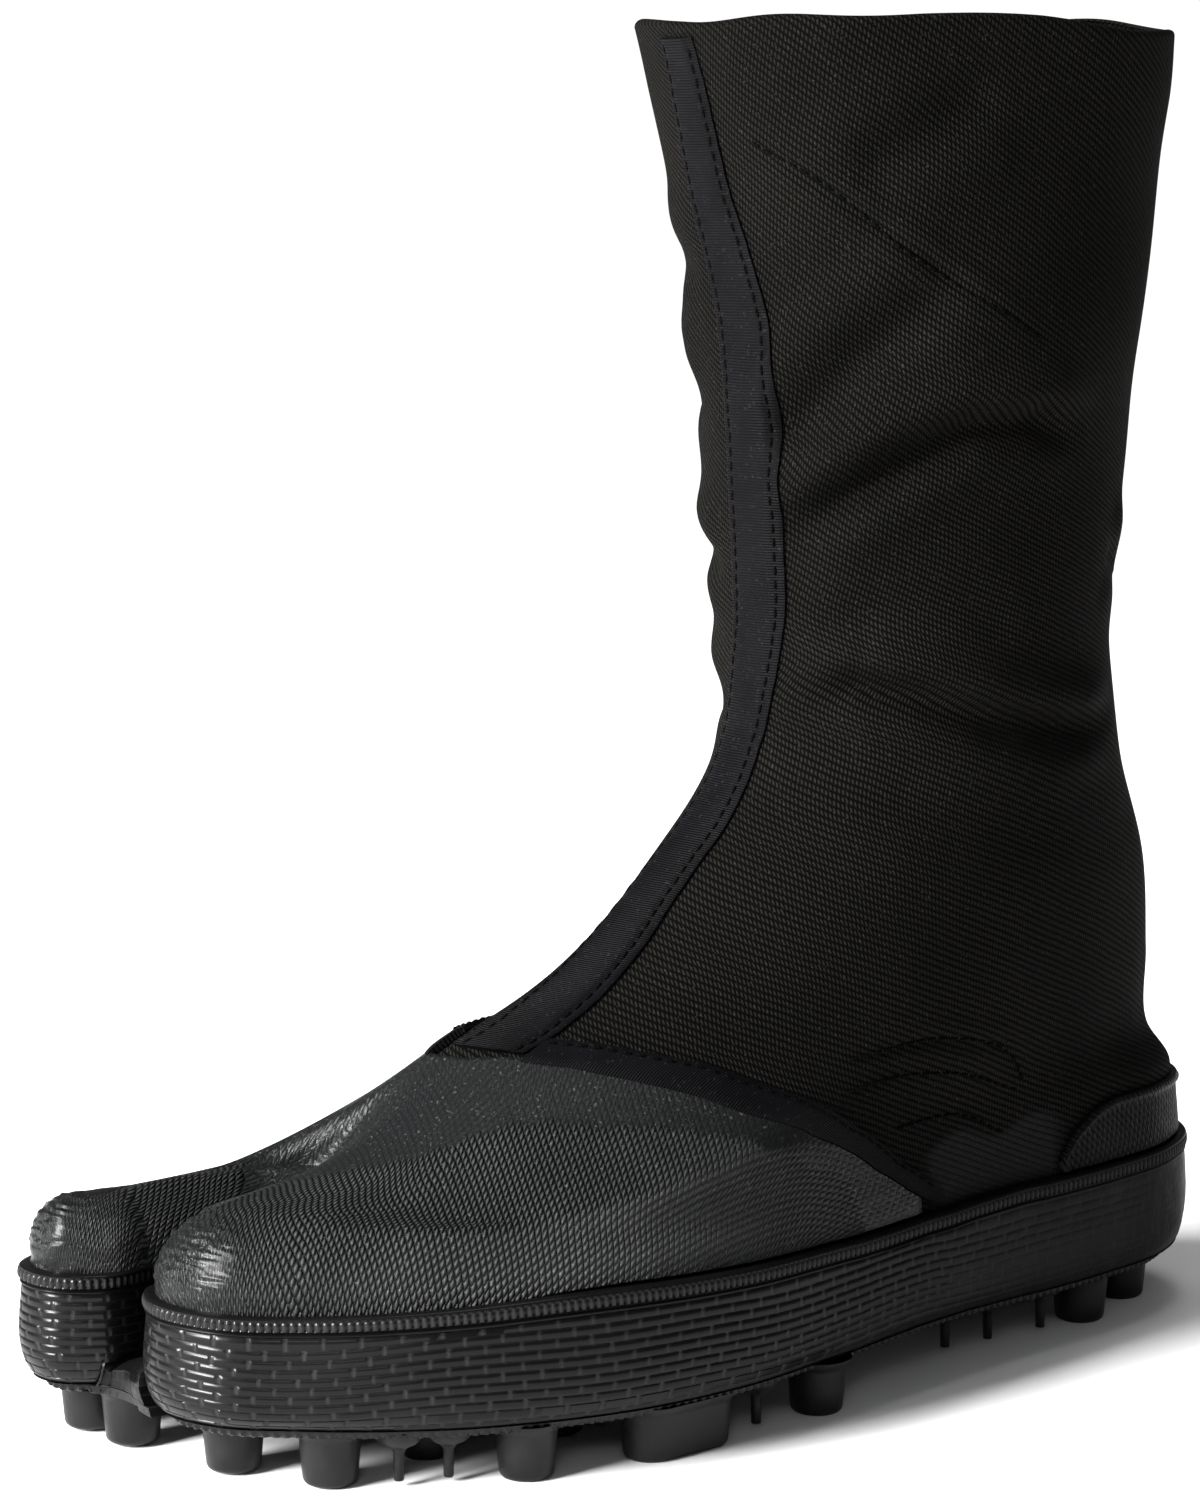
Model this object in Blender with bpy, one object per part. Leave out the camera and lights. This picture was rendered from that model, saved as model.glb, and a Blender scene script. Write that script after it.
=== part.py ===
# Jika tabi: split-toe work boot of the left foot, with a tall cloth shaft and a studded rubber sole.
# Metres, +Z up. The toes point to -Y and +X is the outer side of the foot.

from collections import namedtuple
from math import cos, pi, radians, sin

import bmesh
import bpy
import numpy as np

# Driving sizes of the last and the shaft
FOOT_LENGTH = 0.275       # outline of the upper, toe tip to heel
BALL_WIDTH = 0.100        # outline of the upper, across the ball
HEEL_WIDTH = 0.066        # outline of the upper, across the heel
TOE_RISE = 0.0125         # top of the big toe above the foxing
INSTEP_RISE = 0.070       # bend of the instep above the foxing
SHAFT_RISE = 0.180        # collar above the bend of the instep
SHAFT_WIDTH = 0.078       # across the ankle, side to side
CLEFT_GAP = 0.0135        # between the two toe parts, at the mouth
WALL = 0.0020             # wall of the upper, cloth and lining

# Sole and foxing
STUD_HEIGHT = 0.0110
STUD_DIAMETER = 0.0125
STUD_TAPER = 0.0008       # how much narrower in radius a stud gets, and again at its end
STUD_SIDES = 8
PIN_DIAMETER = 0.0022
PIN_HEIGHT = 0.0066
PIN_SIDES = 5
MOUND_DIAMETER = 0.0100
MOUND_HEIGHT = 0.0032
ROOT = 0.45               # how deep studs and pins start in the plate, as a share of PLATE
PLATE = 0.0018            # rim of the outsole that shows under the foxing
PLUG = 0.0030             # raised middle of the outsole, inside the foxing
TOE_SPRING = 0.0012       # lift of the sole at the toe tips
ARCH_LIFT = 0.0008        # lift of the sole at the waist
FOXING_HEIGHT = 0.0262    # foxing at the ball, above the outsole's rim
FOXING_BULGE = 0.0040     # foxing outside the upper, where it is thickest
CLEFT_FOXING = 0.0018     # foxing inside the cleft
HEEL_FOXING = 0.72        # bulge at the heel, as a share of FOXING_BULGE
INSOLE = 0.0033
WEB_FRONT = -0.437        # y of the web between the toes, as a share of FOOT_LENGTH
WEB_DEPTH = 0.06          # how much of the cleft's depth the web's edge keeps
PLATE_OUT = -0.30         # edge of the outsole's rim outside the upper, as a share of FOXING_BULGE
WEB_HEIGHT = 0.26         # the web's top, as a share of the foxing's height

# Overlays
COVER = 0.0009            # rubberised canvas over the toes
TAPE = 0.0010
TAPE_WIDTH = 0.0155
BINDING = 0.0012
COUNTER = 0.0009
PIPING = 0.0008           # how far the counter's edge stands out
PIPING_WIDTH = 0.0022

GAP = 0.0003              # between two pieces that are glued or sewn together
SEAM_GAP = 0.0005         # between the edges of two overlays
OVER_FOXING = 1.25        # from the foxing's top to an overlay, as a share of SEAM_GAP

# How high an overlay lies over the upper's facets, as a share of GAP. The one on top of
# another lies higher.
COVER_SEAT = 1.8
TAPE_SEAT = 1.5
BINDING_SEAT = 2.8

# Levels
PLATE_TOP = STUD_HEIGHT + PLATE
FOXING_FOOT = PLATE_TOP + GAP
PLUG_TOP = PLATE_TOP + PLUG
FEATHER = PLUG_TOP + GAP
FOXING_TOP = FOXING_FOOT + FOXING_HEIGHT
BEND = FOXING_TOP + INSTEP_RISE

# The outline of the upper, from the end of the cleft round by the outer side and the heel.
# x = ball * BALL_WIDTH + heel * HEEL_WIDTH + cleft * CLEFT_GAP, y = along * FOOT_LENGTH.
# steps: facets up to the next row. zone: which row of ZONES shapes the wall above the foxing.
# The toe-root ring is the outline moved by root_in * BALL_WIDTH and root_back * FOOT_LENGTH,
# at root_rise * TOE_RISE over the foxing. turn: place on the rings above, 0 is the front.
Row = namedtuple("Row", "ball heel cleft along steps zone root_in root_back root_rise turn")
OUTLINE = [Row(*row) for row in (
    (-0.290, 0.00, 0.00, -0.297, 1, "cleft_end", 0.000, 0.022, 0.94, 0),
    (-0.290, 0.00, 0.26, -0.320, 1, "cleft_wall", 0.047, 0.028, 1.04, 4),
    (-0.288, 0.00, 0.38, -0.374, 1, "cleft_wall", 0.060, 0.062, 1.24, 8),
    (-0.280, 0.00, 0.50, -0.429, 1, "cleft_wall", 0.070, 0.106, 1.32, 11),
    (-0.175, 0.00, 0.00, -0.456, 2, "small_tip", 0.055, 0.129, 1.36, 14),
    (-0.090, 0.00, 0.00, -0.471, 2, "small_tip", 0.030, 0.142, 1.36, 17),
    (0.030, 0.00, 0.00, -0.462, 2, "small_tip", 0.010, 0.135, 1.30, 21),
    (0.155, 0.00, 0.00, -0.418, 2, "side_tip", -0.005, 0.098, 1.12, 26),
    (0.280, 0.00, 0.00, -0.358, 2, "ball", -0.020, 0.050, 0.98, 32),
    (0.383, 0.00, 0.00, -0.285, 2, "ball", -0.040, 0.016, 1.00, 39),
    (0.450, 0.00, 0.00, -0.207, 2, "ball", -0.045, 0.006, 1.16, 48),
    (0.470, 0.00, 0.00, -0.109, 2, "ball", -0.045, 0.000, 1.40, 61),
    (0.300, 0.20, 0.00, 0.000, 2, "waist", -0.035, 0.000, 1.60, 77),
    (0.150, 0.37, 0.00, 0.109, 2, "waist", -0.030, 0.000, 1.60, 95),
    (0.030, 0.50, 0.00, 0.218, 2, "waist", -0.022, 0.000, 1.52, 112),
    (0.000, 0.515, 0.00, 0.335, 2, "heel", -0.015, 0.000, 1.40, 132),
    (0.000, 0.460, 0.00, 0.410, 2, "heel", -0.012, -0.002, 1.32, 148),
    (0.000, 0.320, 0.00, 0.465, 2, "heel", -0.008, -0.003, 1.28, 164),
    (0.000, 0.000, 0.00, 0.495, 2, "heel", 0.000, -0.005, 1.28, 180),
    (0.000, -0.310, 0.00, 0.465, 2, "heel", 0.008, -0.003, 1.28, 196),
    (0.000, -0.450, 0.00, 0.410, 2, "heel", 0.012, -0.002, 1.32, 212),
    (0.000, -0.485, 0.00, 0.335, 2, "heel", 0.015, 0.000, 1.40, 230),
    (-0.020, -0.440, 0.00, 0.218, 2, "waist", 0.020, 0.000, 1.52, 249),
    (-0.110, -0.330, 0.00, 0.109, 2, "waist", 0.022, 0.000, 1.60, 270),
    (-0.260, -0.180, 0.00, 0.000, 2, "waist", 0.028, 0.000, 1.60, 291),
    (-0.460, 0.00, 0.00, -0.127, 2, "inner_ball", 0.040, 0.000, 1.36, 308),
    (-0.525, 0.00, 0.00, -0.218, 2, "inner_ball", 0.052, 0.006, 1.04, 316),
    (-0.565, 0.00, 0.00, -0.309, 2, "inner_ball", 0.058, 0.022, 0.82, 322),
    (-0.575, 0.00, 0.00, -0.400, 1, "big_side", 0.068, 0.084, 0.74, 326),
    (-0.548, 0.00, 0.00, -0.459, 2, "big_side", 0.077, 0.136, 0.76, 328.5),
    (-0.487, 0.00, 0.00, -0.491, 1, "big_tip", 0.036, 0.160, 0.84, 331),
    (-0.415, 0.00, 0.00, -0.491, 2, "big_tip", -0.022, 0.161, 0.92, 333.5),
    (-0.362, 0.00, 0.00, -0.466, 1, "big_tip", -0.064, 0.139, 0.96, 336),
    (-0.290, 0.00, -0.46, -0.429, 1, "cleft_wall", -0.066, 0.106, 0.96, 339),
    (-0.290, 0.00, -0.38, -0.374, 1, "cleft_wall", -0.060, 0.062, 0.94, 343),
    (-0.290, 0.00, -0.26, -0.320, 1, "cleft_wall", -0.047, 0.028, 0.92, 350),
)]

# Two rings between the foxing and the toe-root ring, for each zone of the outline:
# inset from the outline as a share of BALL_WIDTH, rise over the foxing as a share of TOE_RISE.
Zone = namedtuple("Zone", "low_inset low_rise high_inset high_rise")
ZONES = {
    "cleft_end": Zone(0.010, 0.40, 0.030, 0.76),
    "cleft_wall": Zone(0.012, 0.42, 0.048, 0.80),
    "small_tip": Zone(0.035, 0.50, 0.115, 0.94),
    "side_tip": Zone(0.025, 0.46, 0.080, 0.86),
    "ball": Zone(0.012, 0.46, 0.036, 0.86),
    "waist": Zone(0.008, 0.48, 0.020, 0.98),
    "heel": Zone(0.003, 0.40, 0.008, 0.84),
    "inner_ball": Zone(0.013, 0.36, 0.034, 0.60),
    "big_side": Zone(0.016, 0.34, 0.042, 0.52),
    "big_tip": Zone(0.024, 0.46, 0.055, 0.68),
}

# Rings over the instep and up the shaft, each in a plane that leans from front to back.
# mid: x of the ring, and side: x of its front beside mid, as shares of BALL_WIDTH. front, back
# and widest: y as shares of FOOT_LENGTH. lift and back_lift: height over the foxing as a share
# of INSTEP_RISE, or, past 1, one plus a share of SHAFT_RISE. half: half width as a share of
# SHAFT_WIDTH. point: power of the front half, 2 is an ellipse and less is more pointed;
# inner_point the same on the inner side. yaw: degrees that the ring is turned, less than 0
# brings the front to the inner side.
Ring = namedtuple("Ring",
                  "mid side front lift back back_lift half widest point inner_point yaw")
RINGS = [Ring(*row) for row in (
    (0.025, -0.150, -0.219, 0.530, 0.480, 0.330, 0.445, 0.090, 1.85, 1.40, 0),
    (0.020, -0.070, -0.120, 0.745, 0.475, 0.580, 0.455, 0.140, 1.85, 1.50, 0),
    (0.010, -0.030, -0.029, 1.000, 0.459, 0.900, 0.468, 0.190, 1.85, 1.65, -2),
    (0.000, 0.000, 0.052, 1.140, 0.420, 1.110, 0.482, 0.235, 1.90, 1.85, -2),
    (0.000, 0.000, 0.063, 1.270, 0.402, 1.255, 0.505, 0.232, 2.00, 2.00, 0),
    (0.000, 0.000, 0.045, 1.440, 0.410, 1.430, 0.532, 0.228, 2.00, 2.00, 4),
    (0.000, 0.000, 0.040, 1.660, 0.418, 1.650, 0.592, 0.229, 2.05, 2.05, 2),
    (0.000, 0.000, 0.032, 1.835, 0.418, 1.830, 0.608, 0.225, 2.35, 2.35, -9),
    (0.000, 0.000, 0.008, 1.990, 0.414, 2.000, 0.635, 0.210, 2.65, 2.65, -18),
)]

# Facets between one key ring and the next, from the foxing's top to the collar
RING_STEPS = (1, 2, 2, 2, 2, 2, 2, 1, 1, 1, 1, 1)

# Top of the foxing along the foot: y as a share of FOOT_LENGTH, and what is added to its
# height, as a share of FOXING_HEIGHT
FOXING_LINE = ((-0.52, 0.02), (-0.20, 0.0), (0.05, -0.075), (0.13, -0.075), (0.22, -0.03),
               (0.35, -0.03), (0.52, -0.015))

# Outer face of the foxing, from its top to its foot: offset outside the upper as a share of
# FOXING_BULGE, height as a share of the foxing's own
FOXING_PROFILE = ((0.78, 1.000), (0.98, 0.965), (0.98, 0.865), (0.80, 0.850), (0.96, 0.62),
                  (1.00, 0.45), (0.88, 0.25), (0.55, 0.10), (0.10, 0.00))

# Edges of the overlays. Each row is a place round the outline, counted from the front row for
# the cover and its binding and from the heel row for the counter, the same on both sides, and
# the level of the edge there, counted in key rings.
COVER_EDGE = ((0.0, 3.98), (4.0, 3.98), (6.4, 4.03), (8.7, 4.00), (10.0, 3.92), (10.84, 3.76),
              (11.8, 3.24), (12.48, 2.16), (12.8, 1.04), (13.0, 0.00))
BINDING_EDGE = ((0.0, 4.24), (6.4, 4.28), (8.7, 4.26), (10.0, 4.16), (10.84, 4.02),
                (11.8, 3.62), (12.5, 2.85), (13.0, 1.30), (13.3, 0.00))
COUNTER_EDGE = ((0.0, 2.50), (1.6, 2.52), (2.4, 2.52), (2.92, 2.46), (3.16, 2.24), (3.4, 1.44),
                (3.6, 0.00))
EDGE_KNOTS = (11.4, 11.8, 12.48, 12.8)   # where the cover's edge bends, between the facets
COVER_REACH = 12.92       # where the cover ends on each side, counted as in its table
BINDING_REACH = 13.15
COUNTER_REACH = 3.52
HEEL_ROW = 18.0           # the row of the outline at the middle of the heel
BINDING_SEAM = 0.03       # from the cover's edge to the binding's, in levels
ROW_STEP = 0.06           # least step in levels between the cover's rows, where there is room
BINDING_ROWS = 3

# The counter's raised edge: levels for its width, as many as a TOE_RISE would take, the most it
# takes of the counter's height, and how much of its width is raised
EDGE_LEVELS = 2.2
EDGE_MOST = 0.45
EDGE_RAISED = 0.92

# Middle of the front tape: level, and how far it lies to the outer side of the front row as a
# share of TAPE_WIDTH
TAPE_FOOT = 4.06          # level of the tape's lower end
TAPE_COLUMNS = 9
TAPE_LINE = ((4.05, 0.55), (4.30, 0.60), (4.60, 0.50), (5.20, 0.30), (5.80, 0.10), (6.40, 0.00),
             (7.00, -0.20), (7.50, -0.15), (8.20, 0.00), (9.50, 0.00), (10.30, -0.15),
             (10.80, -0.12), (11.40, 0.10), (12.00, 0.35))

# Lift of the sole: y as a share of FOOT_LENGTH, share of TOE_SPRING, share of ARCH_LIFT
LIFT_LINE = ((-0.52, 1.0, 0.0), (-0.42, 0.4, 0.0), (-0.32, 0.0, 0.0), (0.02, 0.0, 0.0),
             (0.10, 0.0, 1.0), (0.16, 0.0, 1.0), (0.25, 0.0, 0.0), (0.54, 0.0, 0.0))
LIFT_Y = np.array([row[0] for row in LIFT_LINE]) * FOOT_LENGTH
LIFT_Z = np.array([row[1] * TOE_SPRING + row[2] * ARCH_LIFT for row in LIFT_LINE])


# Smooth curves

def tangents(points, closed):
    # Slopes at each point for uneven spacing, from its two neighbours
    if closed:
        before = np.roll(points, 1, axis=0)
        after = np.roll(points, -1, axis=0)
    else:
        before = np.vstack([2 * points[:1] - points[1:2], points[:-1]])
        after = np.vstack([points[1:], 2 * points[-1:] - points[-2:-1]])
    d_before = np.linalg.norm(points - before, axis=-1, keepdims=True) + 1e-9
    d_after = np.linalg.norm(after - points, axis=-1, keepdims=True) + 1e-9
    slope = ((points - before) / d_before * d_after + (after - points) / d_after * d_before)
    return slope / (d_before + d_after)


def curve_at(points, where, closed=False, slopes=None):
    # Point on the smooth curve through points; where counts rows, 2.5 is half way past row 2
    count = len(points)
    slopes = tangents(points, closed) if slopes is None else slopes
    last = count if closed else count - 1
    where = np.clip(where, 0, last) if not closed else np.mod(where, count)
    i = np.minimum(np.floor(where).astype(int), last - 1)
    f = (where - i)[:, None]
    a = points[i]
    b = points[(i + 1) % count]
    span = np.linalg.norm(b - a, axis=-1, keepdims=True)
    h = f * f * (3 - 2 * f)
    return (a + (b - a) * h + slopes[i] * span * (f * (1 - f) ** 2)
            - slopes[(i + 1) % count] * span * (f * f * (1 - f)))


def smooth(x, low, high):
    f = np.clip((x - low) / (high - low), 0.0, 1.0)
    return f * f * (3 - 2 * f)


# The form of the upper

def spring(points):
    # Raises the toes and the waist: fully up to the foxing's top, and less and less above it
    points = np.array(points, dtype=float)
    fade = 1.0 - smooth(points[:, 2], FOXING_TOP, BEND)
    points[:, 2] += np.interp(points[:, 1], LIFT_Y, LIFT_Z) * fade
    return points


def outline_rows():
    return np.array([(r.ball * BALL_WIDTH + r.heel * HEEL_WIDTH + r.cleft * CLEFT_GAP,
                      r.along * FOOT_LENGTH) for r in OUTLINE])


def outward(where, rows):
    # Unit normal of the outline, seen from above
    step = 0.05
    ahead = curve_at(rows, where + step, closed=True)
    behind = curve_at(rows, where - step, closed=True)
    way = ahead - behind
    normal = np.stack([way[:, 1], -way[:, 0]], axis=1)
    return normal / np.linalg.norm(normal, axis=1, keepdims=True)


def foxing_top(y):
    along = np.array([row[0] for row in FOXING_LINE])
    change = np.array([row[1] for row in FOXING_LINE])
    return FOXING_TOP + FOXING_HEIGHT * np.interp(y / FOOT_LENGTH, along, change)


def ring_height(lift):
    if lift <= 1.0:
        return FOXING_TOP + lift * INSTEP_RISE
    return BEND + (lift - 1.0) * SHAFT_RISE


def shaft_ring(ring, turns):
    # Points of one leaning ring, front half and back half with their own lengths
    front = ring.front * FOOT_LENGTH
    back = ring.back * FOOT_LENGTH
    widest = ring.widest * FOOT_LENGTH
    c = np.cos(turns)
    s = np.sin(turns)
    back_point = max(2.0, ring.point)
    power = np.where(c > 0, np.where(s >= 0, 2.0 / ring.point, 2.0 / ring.inner_point),
                     2.0 / back_point)
    reach = np.where(c > 0, widest - front, back - widest)
    y = widest - np.sign(c) * np.abs(c) ** power * reach
    x = np.sign(s) * np.abs(s) ** power * ring.half * SHAFT_WIDTH
    x = x + (ring.mid + ring.side * np.clip(c, 0.0, 1.0) ** 1.5) * BALL_WIDTH
    share = (y - front) / (back - front)
    z = ring_height(ring.lift) * (1 - share) + ring_height(ring.back_lift) * share
    yaw = radians(ring.yaw)
    turned_x = x * cos(yaw) - (y - widest) * sin(yaw)
    turned_y = widest + x * sin(yaw) + (y - widest) * cos(yaw)
    return np.stack([turned_x, turned_y, z], axis=1)


def key_rings():
    # Rings that the surface passes through, one point for each row of the outline
    rows = outline_rows()
    out = outward(np.arange(len(rows)) * 1.0, rows)
    zones = [ZONES[r.zone] for r in OUTLINE]
    top = foxing_top(rows[:, 1])
    rings = [np.column_stack([rows, top])]
    for inset_name, rise_name in (("low_inset", "low_rise"), ("high_inset", "high_rise")):
        inset = np.array([getattr(zone, inset_name) for zone in zones]) * BALL_WIDTH
        rise = np.array([getattr(zone, rise_name) for zone in zones]) * TOE_RISE
        rings.append(np.column_stack([rows - out * inset[:, None], top + rise]))
    move = np.array([(r.root_in * BALL_WIDTH, r.root_back * FOOT_LENGTH) for r in OUTLINE])
    rise = np.array([r.root_rise for r in OUTLINE]) * TOE_RISE
    rings.append(np.column_stack([rows + move, FOXING_TOP + rise]))
    turns = np.radians([r.turn for r in OUTLINE])
    rings.extend(shaft_ring(ring, turns) for ring in RINGS)
    return np.array(rings)


KEYS = key_rings()
COLLAR = len(KEYS) - 1.0      # level of the collar; level 0 is the foxing's top
FRONT = float(len(OUTLINE))   # the front of the shaft, the same place as 0


def surface(where, level):
    # Outer face of the upper; where runs round the rows of the outline, level up the key rings
    where = np.atleast_1d(np.asarray(where, dtype=float))
    level = np.atleast_1d(np.asarray(level, dtype=float))
    where, level = np.broadcast_arrays(where, level)
    shape = where.shape
    where = where.ravel()
    level = level.ravel()
    keys = np.array([curve_at(ring, where, closed=True) for ring in KEYS])
    # Below the first ring the wall is upright, so the first slope is upright too
    rise = np.zeros_like(keys[:1])
    rise[..., 2] = np.linalg.norm(keys[1] - keys[0], axis=1)
    before = np.concatenate([keys[:1] - rise, keys[:-1]])
    after = np.concatenate([keys[1:], 2 * keys[-1:] - keys[-2:-1]])
    d_before = np.linalg.norm(keys - before, axis=-1, keepdims=True)
    d_after = np.linalg.norm(after - keys, axis=-1, keepdims=True)
    slope = ((keys - before) / d_before * d_after + (after - keys) / d_after * d_before)
    slope = slope / (d_before + d_after)
    slope[0] = np.array([0.0, 0.0, 1.0])
    i = np.clip(np.floor(level).astype(int), 0, len(keys) - 2)
    f = np.clip(level - i, 0.0, 1.0)[:, None]
    n = np.arange(len(where))
    a = keys[i, n]
    b = keys[i + 1, n]
    span = np.linalg.norm(b - a, axis=-1, keepdims=True)
    # A slope reaches no further than the shorter stretch beside it, so that nothing swells
    reach = 1.5 * np.minimum(d_before, d_after)
    leave = slope[i, n] * np.minimum(span, reach[i, n])
    arrive = slope[i + 1, n] * np.minimum(span, reach[i + 1, n])
    point = a + (b - a) * (f * f * (3 - 2 * f)) + leave * (f * (1 - f) ** 2)
    point = point - arrive * (f * f * (1 - f))
    below = np.clip(-level, 0.0, 1.0)
    point[:, 2] += below * (FEATHER - point[:, 2]) * (level < 0)
    return point.reshape(shape + (3,))


def surface_normal(where, level):
    step = 0.04
    level = np.minimum(level, COLLAR - step)
    across = surface(where + step, level) - surface(where - step, level)
    up = surface(where, level + step) - surface(where, np.maximum(level - step, -1.0))
    normal = np.cross(across, up)
    return normal / np.linalg.norm(normal, axis=-1, keepdims=True)


def offset_surface(where, level, out):
    where, level = np.broadcast_arrays(np.asarray(where, float), np.asarray(level, float))
    return surface(where, level) + surface_normal(where, level) * np.asarray(out)[..., None]


def facets_round():
    # Places round the outline where the solids have their corners
    places = []
    for i, row in enumerate(OUTLINE):
        places.extend(i + k / row.steps for k in range(row.steps))
    return np.array(places)


def level_places(low, high):
    places = [0.0]
    for i, steps in enumerate(RING_STEPS):
        places.extend(i + (k + 1) / steps for k in range(steps))
    inner = [p for p in places if low + 0.02 < p < high - 0.02]
    return np.array([low] + inner + [high])


# Mesh helpers

def make_object(name, bm, material, smooth_angle=35.0):
    bmesh.ops.recalc_face_normals(bm, faces=bm.faces)
    mesh = bpy.data.meshes.new(name)
    bm.to_mesh(mesh)
    bm.free()
    mesh.materials.append(material)
    mesh.shade_smooth()
    mesh.set_sharp_from_angle(angle=radians(smooth_angle))
    thing = bpy.data.objects.new(name, mesh)
    bpy.context.scene.collection.objects.link(thing)
    return thing


def add_rings(bm, rings, joined):
    # Skin through closed rings of points; joined closes the last one onto the first
    loops = [[bm.verts.new(p) for p in ring] for ring in rings]
    pairs = list(zip(loops, loops[1:]))
    if joined:
        pairs.append((loops[-1], loops[0]))
    for a, b in pairs:
        for k in range(len(a)):
            m = (k + 1) % len(a)
            bm.faces.new((a[k], a[m], b[m]))
            bm.faces.new((a[k], b[m], b[k]))
    return loops


def add_patch(bm, inner, outer):
    # Sheet between two grids of points of one size, closed along its four edges; its facets
    # are split the same way as those of the rings below it
    rows, columns = inner.shape[:2]
    low = [[bm.verts.new(inner[i, j]) for j in range(columns)] for i in range(rows)]
    high = [[bm.verts.new(outer[i, j]) for j in range(columns)] for i in range(rows)]
    for i in range(rows - 1):
        for j in range(columns - 1):
            bm.faces.new((low[i][j], low[i][j + 1], low[i + 1][j + 1]))
            bm.faces.new((low[i][j], low[i + 1][j + 1], low[i + 1][j]))
            bm.faces.new((high[i][j], high[i + 1][j + 1], high[i][j + 1]))
            bm.faces.new((high[i][j], high[i + 1][j], high[i + 1][j + 1]))
    for i in range(rows - 1):
        bm.faces.new((low[i][0], low[i + 1][0], high[i + 1][0], high[i][0]))
        bm.faces.new((low[i + 1][-1], low[i][-1], high[i][-1], high[i + 1][-1]))
    for j in range(columns - 1):
        bm.faces.new((low[0][j + 1], low[0][j], high[0][j], high[0][j + 1]))
        bm.faces.new((low[-1][j], low[-1][j + 1], high[-1][j + 1], high[-1][j]))


def spring_mesh(bm):
    flat = np.array([v.co[:] for v in bm.verts])
    for vert, point in zip(bm.verts, spring(flat)):
        vert.co = point


def cut_at_lifts(bm):
    # Splits flat caps where the lift of the sole changes slope, so that they stay flat
    for y in LIFT_Y[1:-1]:
        everything = list(bm.verts) + list(bm.edges) + list(bm.faces)
        bmesh.ops.bisect_plane(bm, geom=everything, dist=1e-6, plane_co=(0, y, 0),
                               plane_no=(0, 1, 0))


def material(name, colour, roughness):
    finish = bpy.data.materials.new(name)
    finish.use_nodes = True
    shader = finish.node_tree.nodes["Principled BSDF"]
    shader.inputs["Base Color"].default_value = (*colour, 1.0)
    shader.inputs["Roughness"].default_value = roughness
    shader.inputs["Metallic"].default_value = 0.0
    finish.diffuse_color = (*colour, 1.0)
    return finish


# Pieces

def build_upper(finish):
    # Hollow boot: outer face up to the collar, then down the inside, open at both ends
    places = facets_round()
    levels = level_places(-1.0, COLLAR)
    outer = [surface(places, level) for level in levels]
    plain = [level for level in levels if level == round(level)]
    inner = [offset_surface(places, level, -WALL) for level in plain]
    inner[0][:, 2] = FEATHER
    bm = bmesh.new()
    add_rings(bm, outer + inner[::-1], joined=True)
    spring_mesh(bm)
    return make_object("upper", bm, finish)


def cleft_share(where):
    # 1 between the toes, 0 elsewhere round the outline
    rows = np.arange(len(OUTLINE) + 1)
    share = [1.0 if r.zone.startswith("cleft") else 0.0 for r in OUTLINE]
    return np.interp(np.mod(where, FRONT), rows, share + share[:1])


def sole_ring(where, out, height, webbed):
    # Level ring round the foot; a webbed one runs straight across the mouth of the cleft
    rows = outline_rows()
    plan = curve_at(rows, where, closed=True) + outward(where, rows) * np.asarray(out)[:, None]
    if webbed:
        mouth = WEB_FRONT * FOOT_LENGTH
        back = (cleft_share(where) > 0) & (plan[:, 1] > mouth)
        plan[back, 1] = mouth + (plan[back, 1] - mouth) * WEB_DEPTH
    return np.column_stack([plan, np.broadcast_to(height, len(plan))])


def foxing_out(where, share):
    # Offset outside the upper: the profile's share, thinner inside the cleft and at the heel
    cleft = cleft_share(where)
    along = curve_at(outline_rows(), where, closed=True)[:, 1] / FOOT_LENGTH
    bulge = FOXING_BULGE * (1 - (1 - HEEL_FOXING) * smooth(along, 0.15, 0.42))
    return GAP + share * (bulge * (1 - cleft) + CLEFT_FOXING * cleft)


def build_foxing(finish):
    places = facets_round()
    top = foxing_top(curve_at(outline_rows(), places, closed=True)[:, 1])
    rings = []
    for share, height in FOXING_PROFILE:
        z = FOXING_FOOT + (top - FOXING_FOOT) * height
        rings.append(sole_ring(places, foxing_out(places, share), z, height < WEB_HEIGHT))
    hold = -np.ones(len(places)) * FOXING_BULGE
    rings.append(sole_ring(places, hold, FOXING_FOOT, False))
    rings.append(sole_ring(places, hold, PLUG_TOP, False))
    rings.append(sole_ring(places, np.full(len(places), GAP), PLUG_TOP, False))
    rings.append(sole_ring(places, np.full(len(places), GAP), top, False))
    bm = bmesh.new()
    add_rings(bm, rings, joined=True)
    spring_mesh(bm)
    return make_object("foxing", bm, finish)


# Studs under the sole: x as shares of BALL_WIDTH and of HEEL_WIDTH, y of FOOT_LENGTH, and how
# much longer than wide the stud is along the foot
STUDS = (
    (-0.510, 0.0, -0.442, 1.0), (-0.365, 0.0, -0.440, 1.0), (-0.085, 0.0, -0.420, 1.0),
    (0.110, 0.0, -0.385, 1.0), (0.320, 0.0, -0.265, 1.0), (0.385, 0.0, -0.142, 2.1),
    (0.370, 0.0, 0.005, 1.0), (-0.480, 0.0, -0.335, 1.0), (-0.450, 0.0, -0.215, 2.1),
    (-0.370, 0.0, -0.075, 1.0), (-0.180, 0.0, -0.325, 1.0), (0.080, 0.0, -0.290, 1.0),
    (-0.120, 0.0, -0.205, 1.0), (0.130, 0.0, -0.180, 1.0), (-0.080, 0.0, -0.090, 1.0),
    (0.150, 0.0, -0.050, 1.0),
    (0.0, 0.360, 0.345, 1.0), (0.0, -0.340, 0.345, 1.0), (0.0, 0.240, 0.423, 1.0),
    (0.0, -0.230, 0.423, 1.0), (0.0, 0.0, 0.265, 1.0), (0.0, 0.010, 0.350, 1.0),
)

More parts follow.
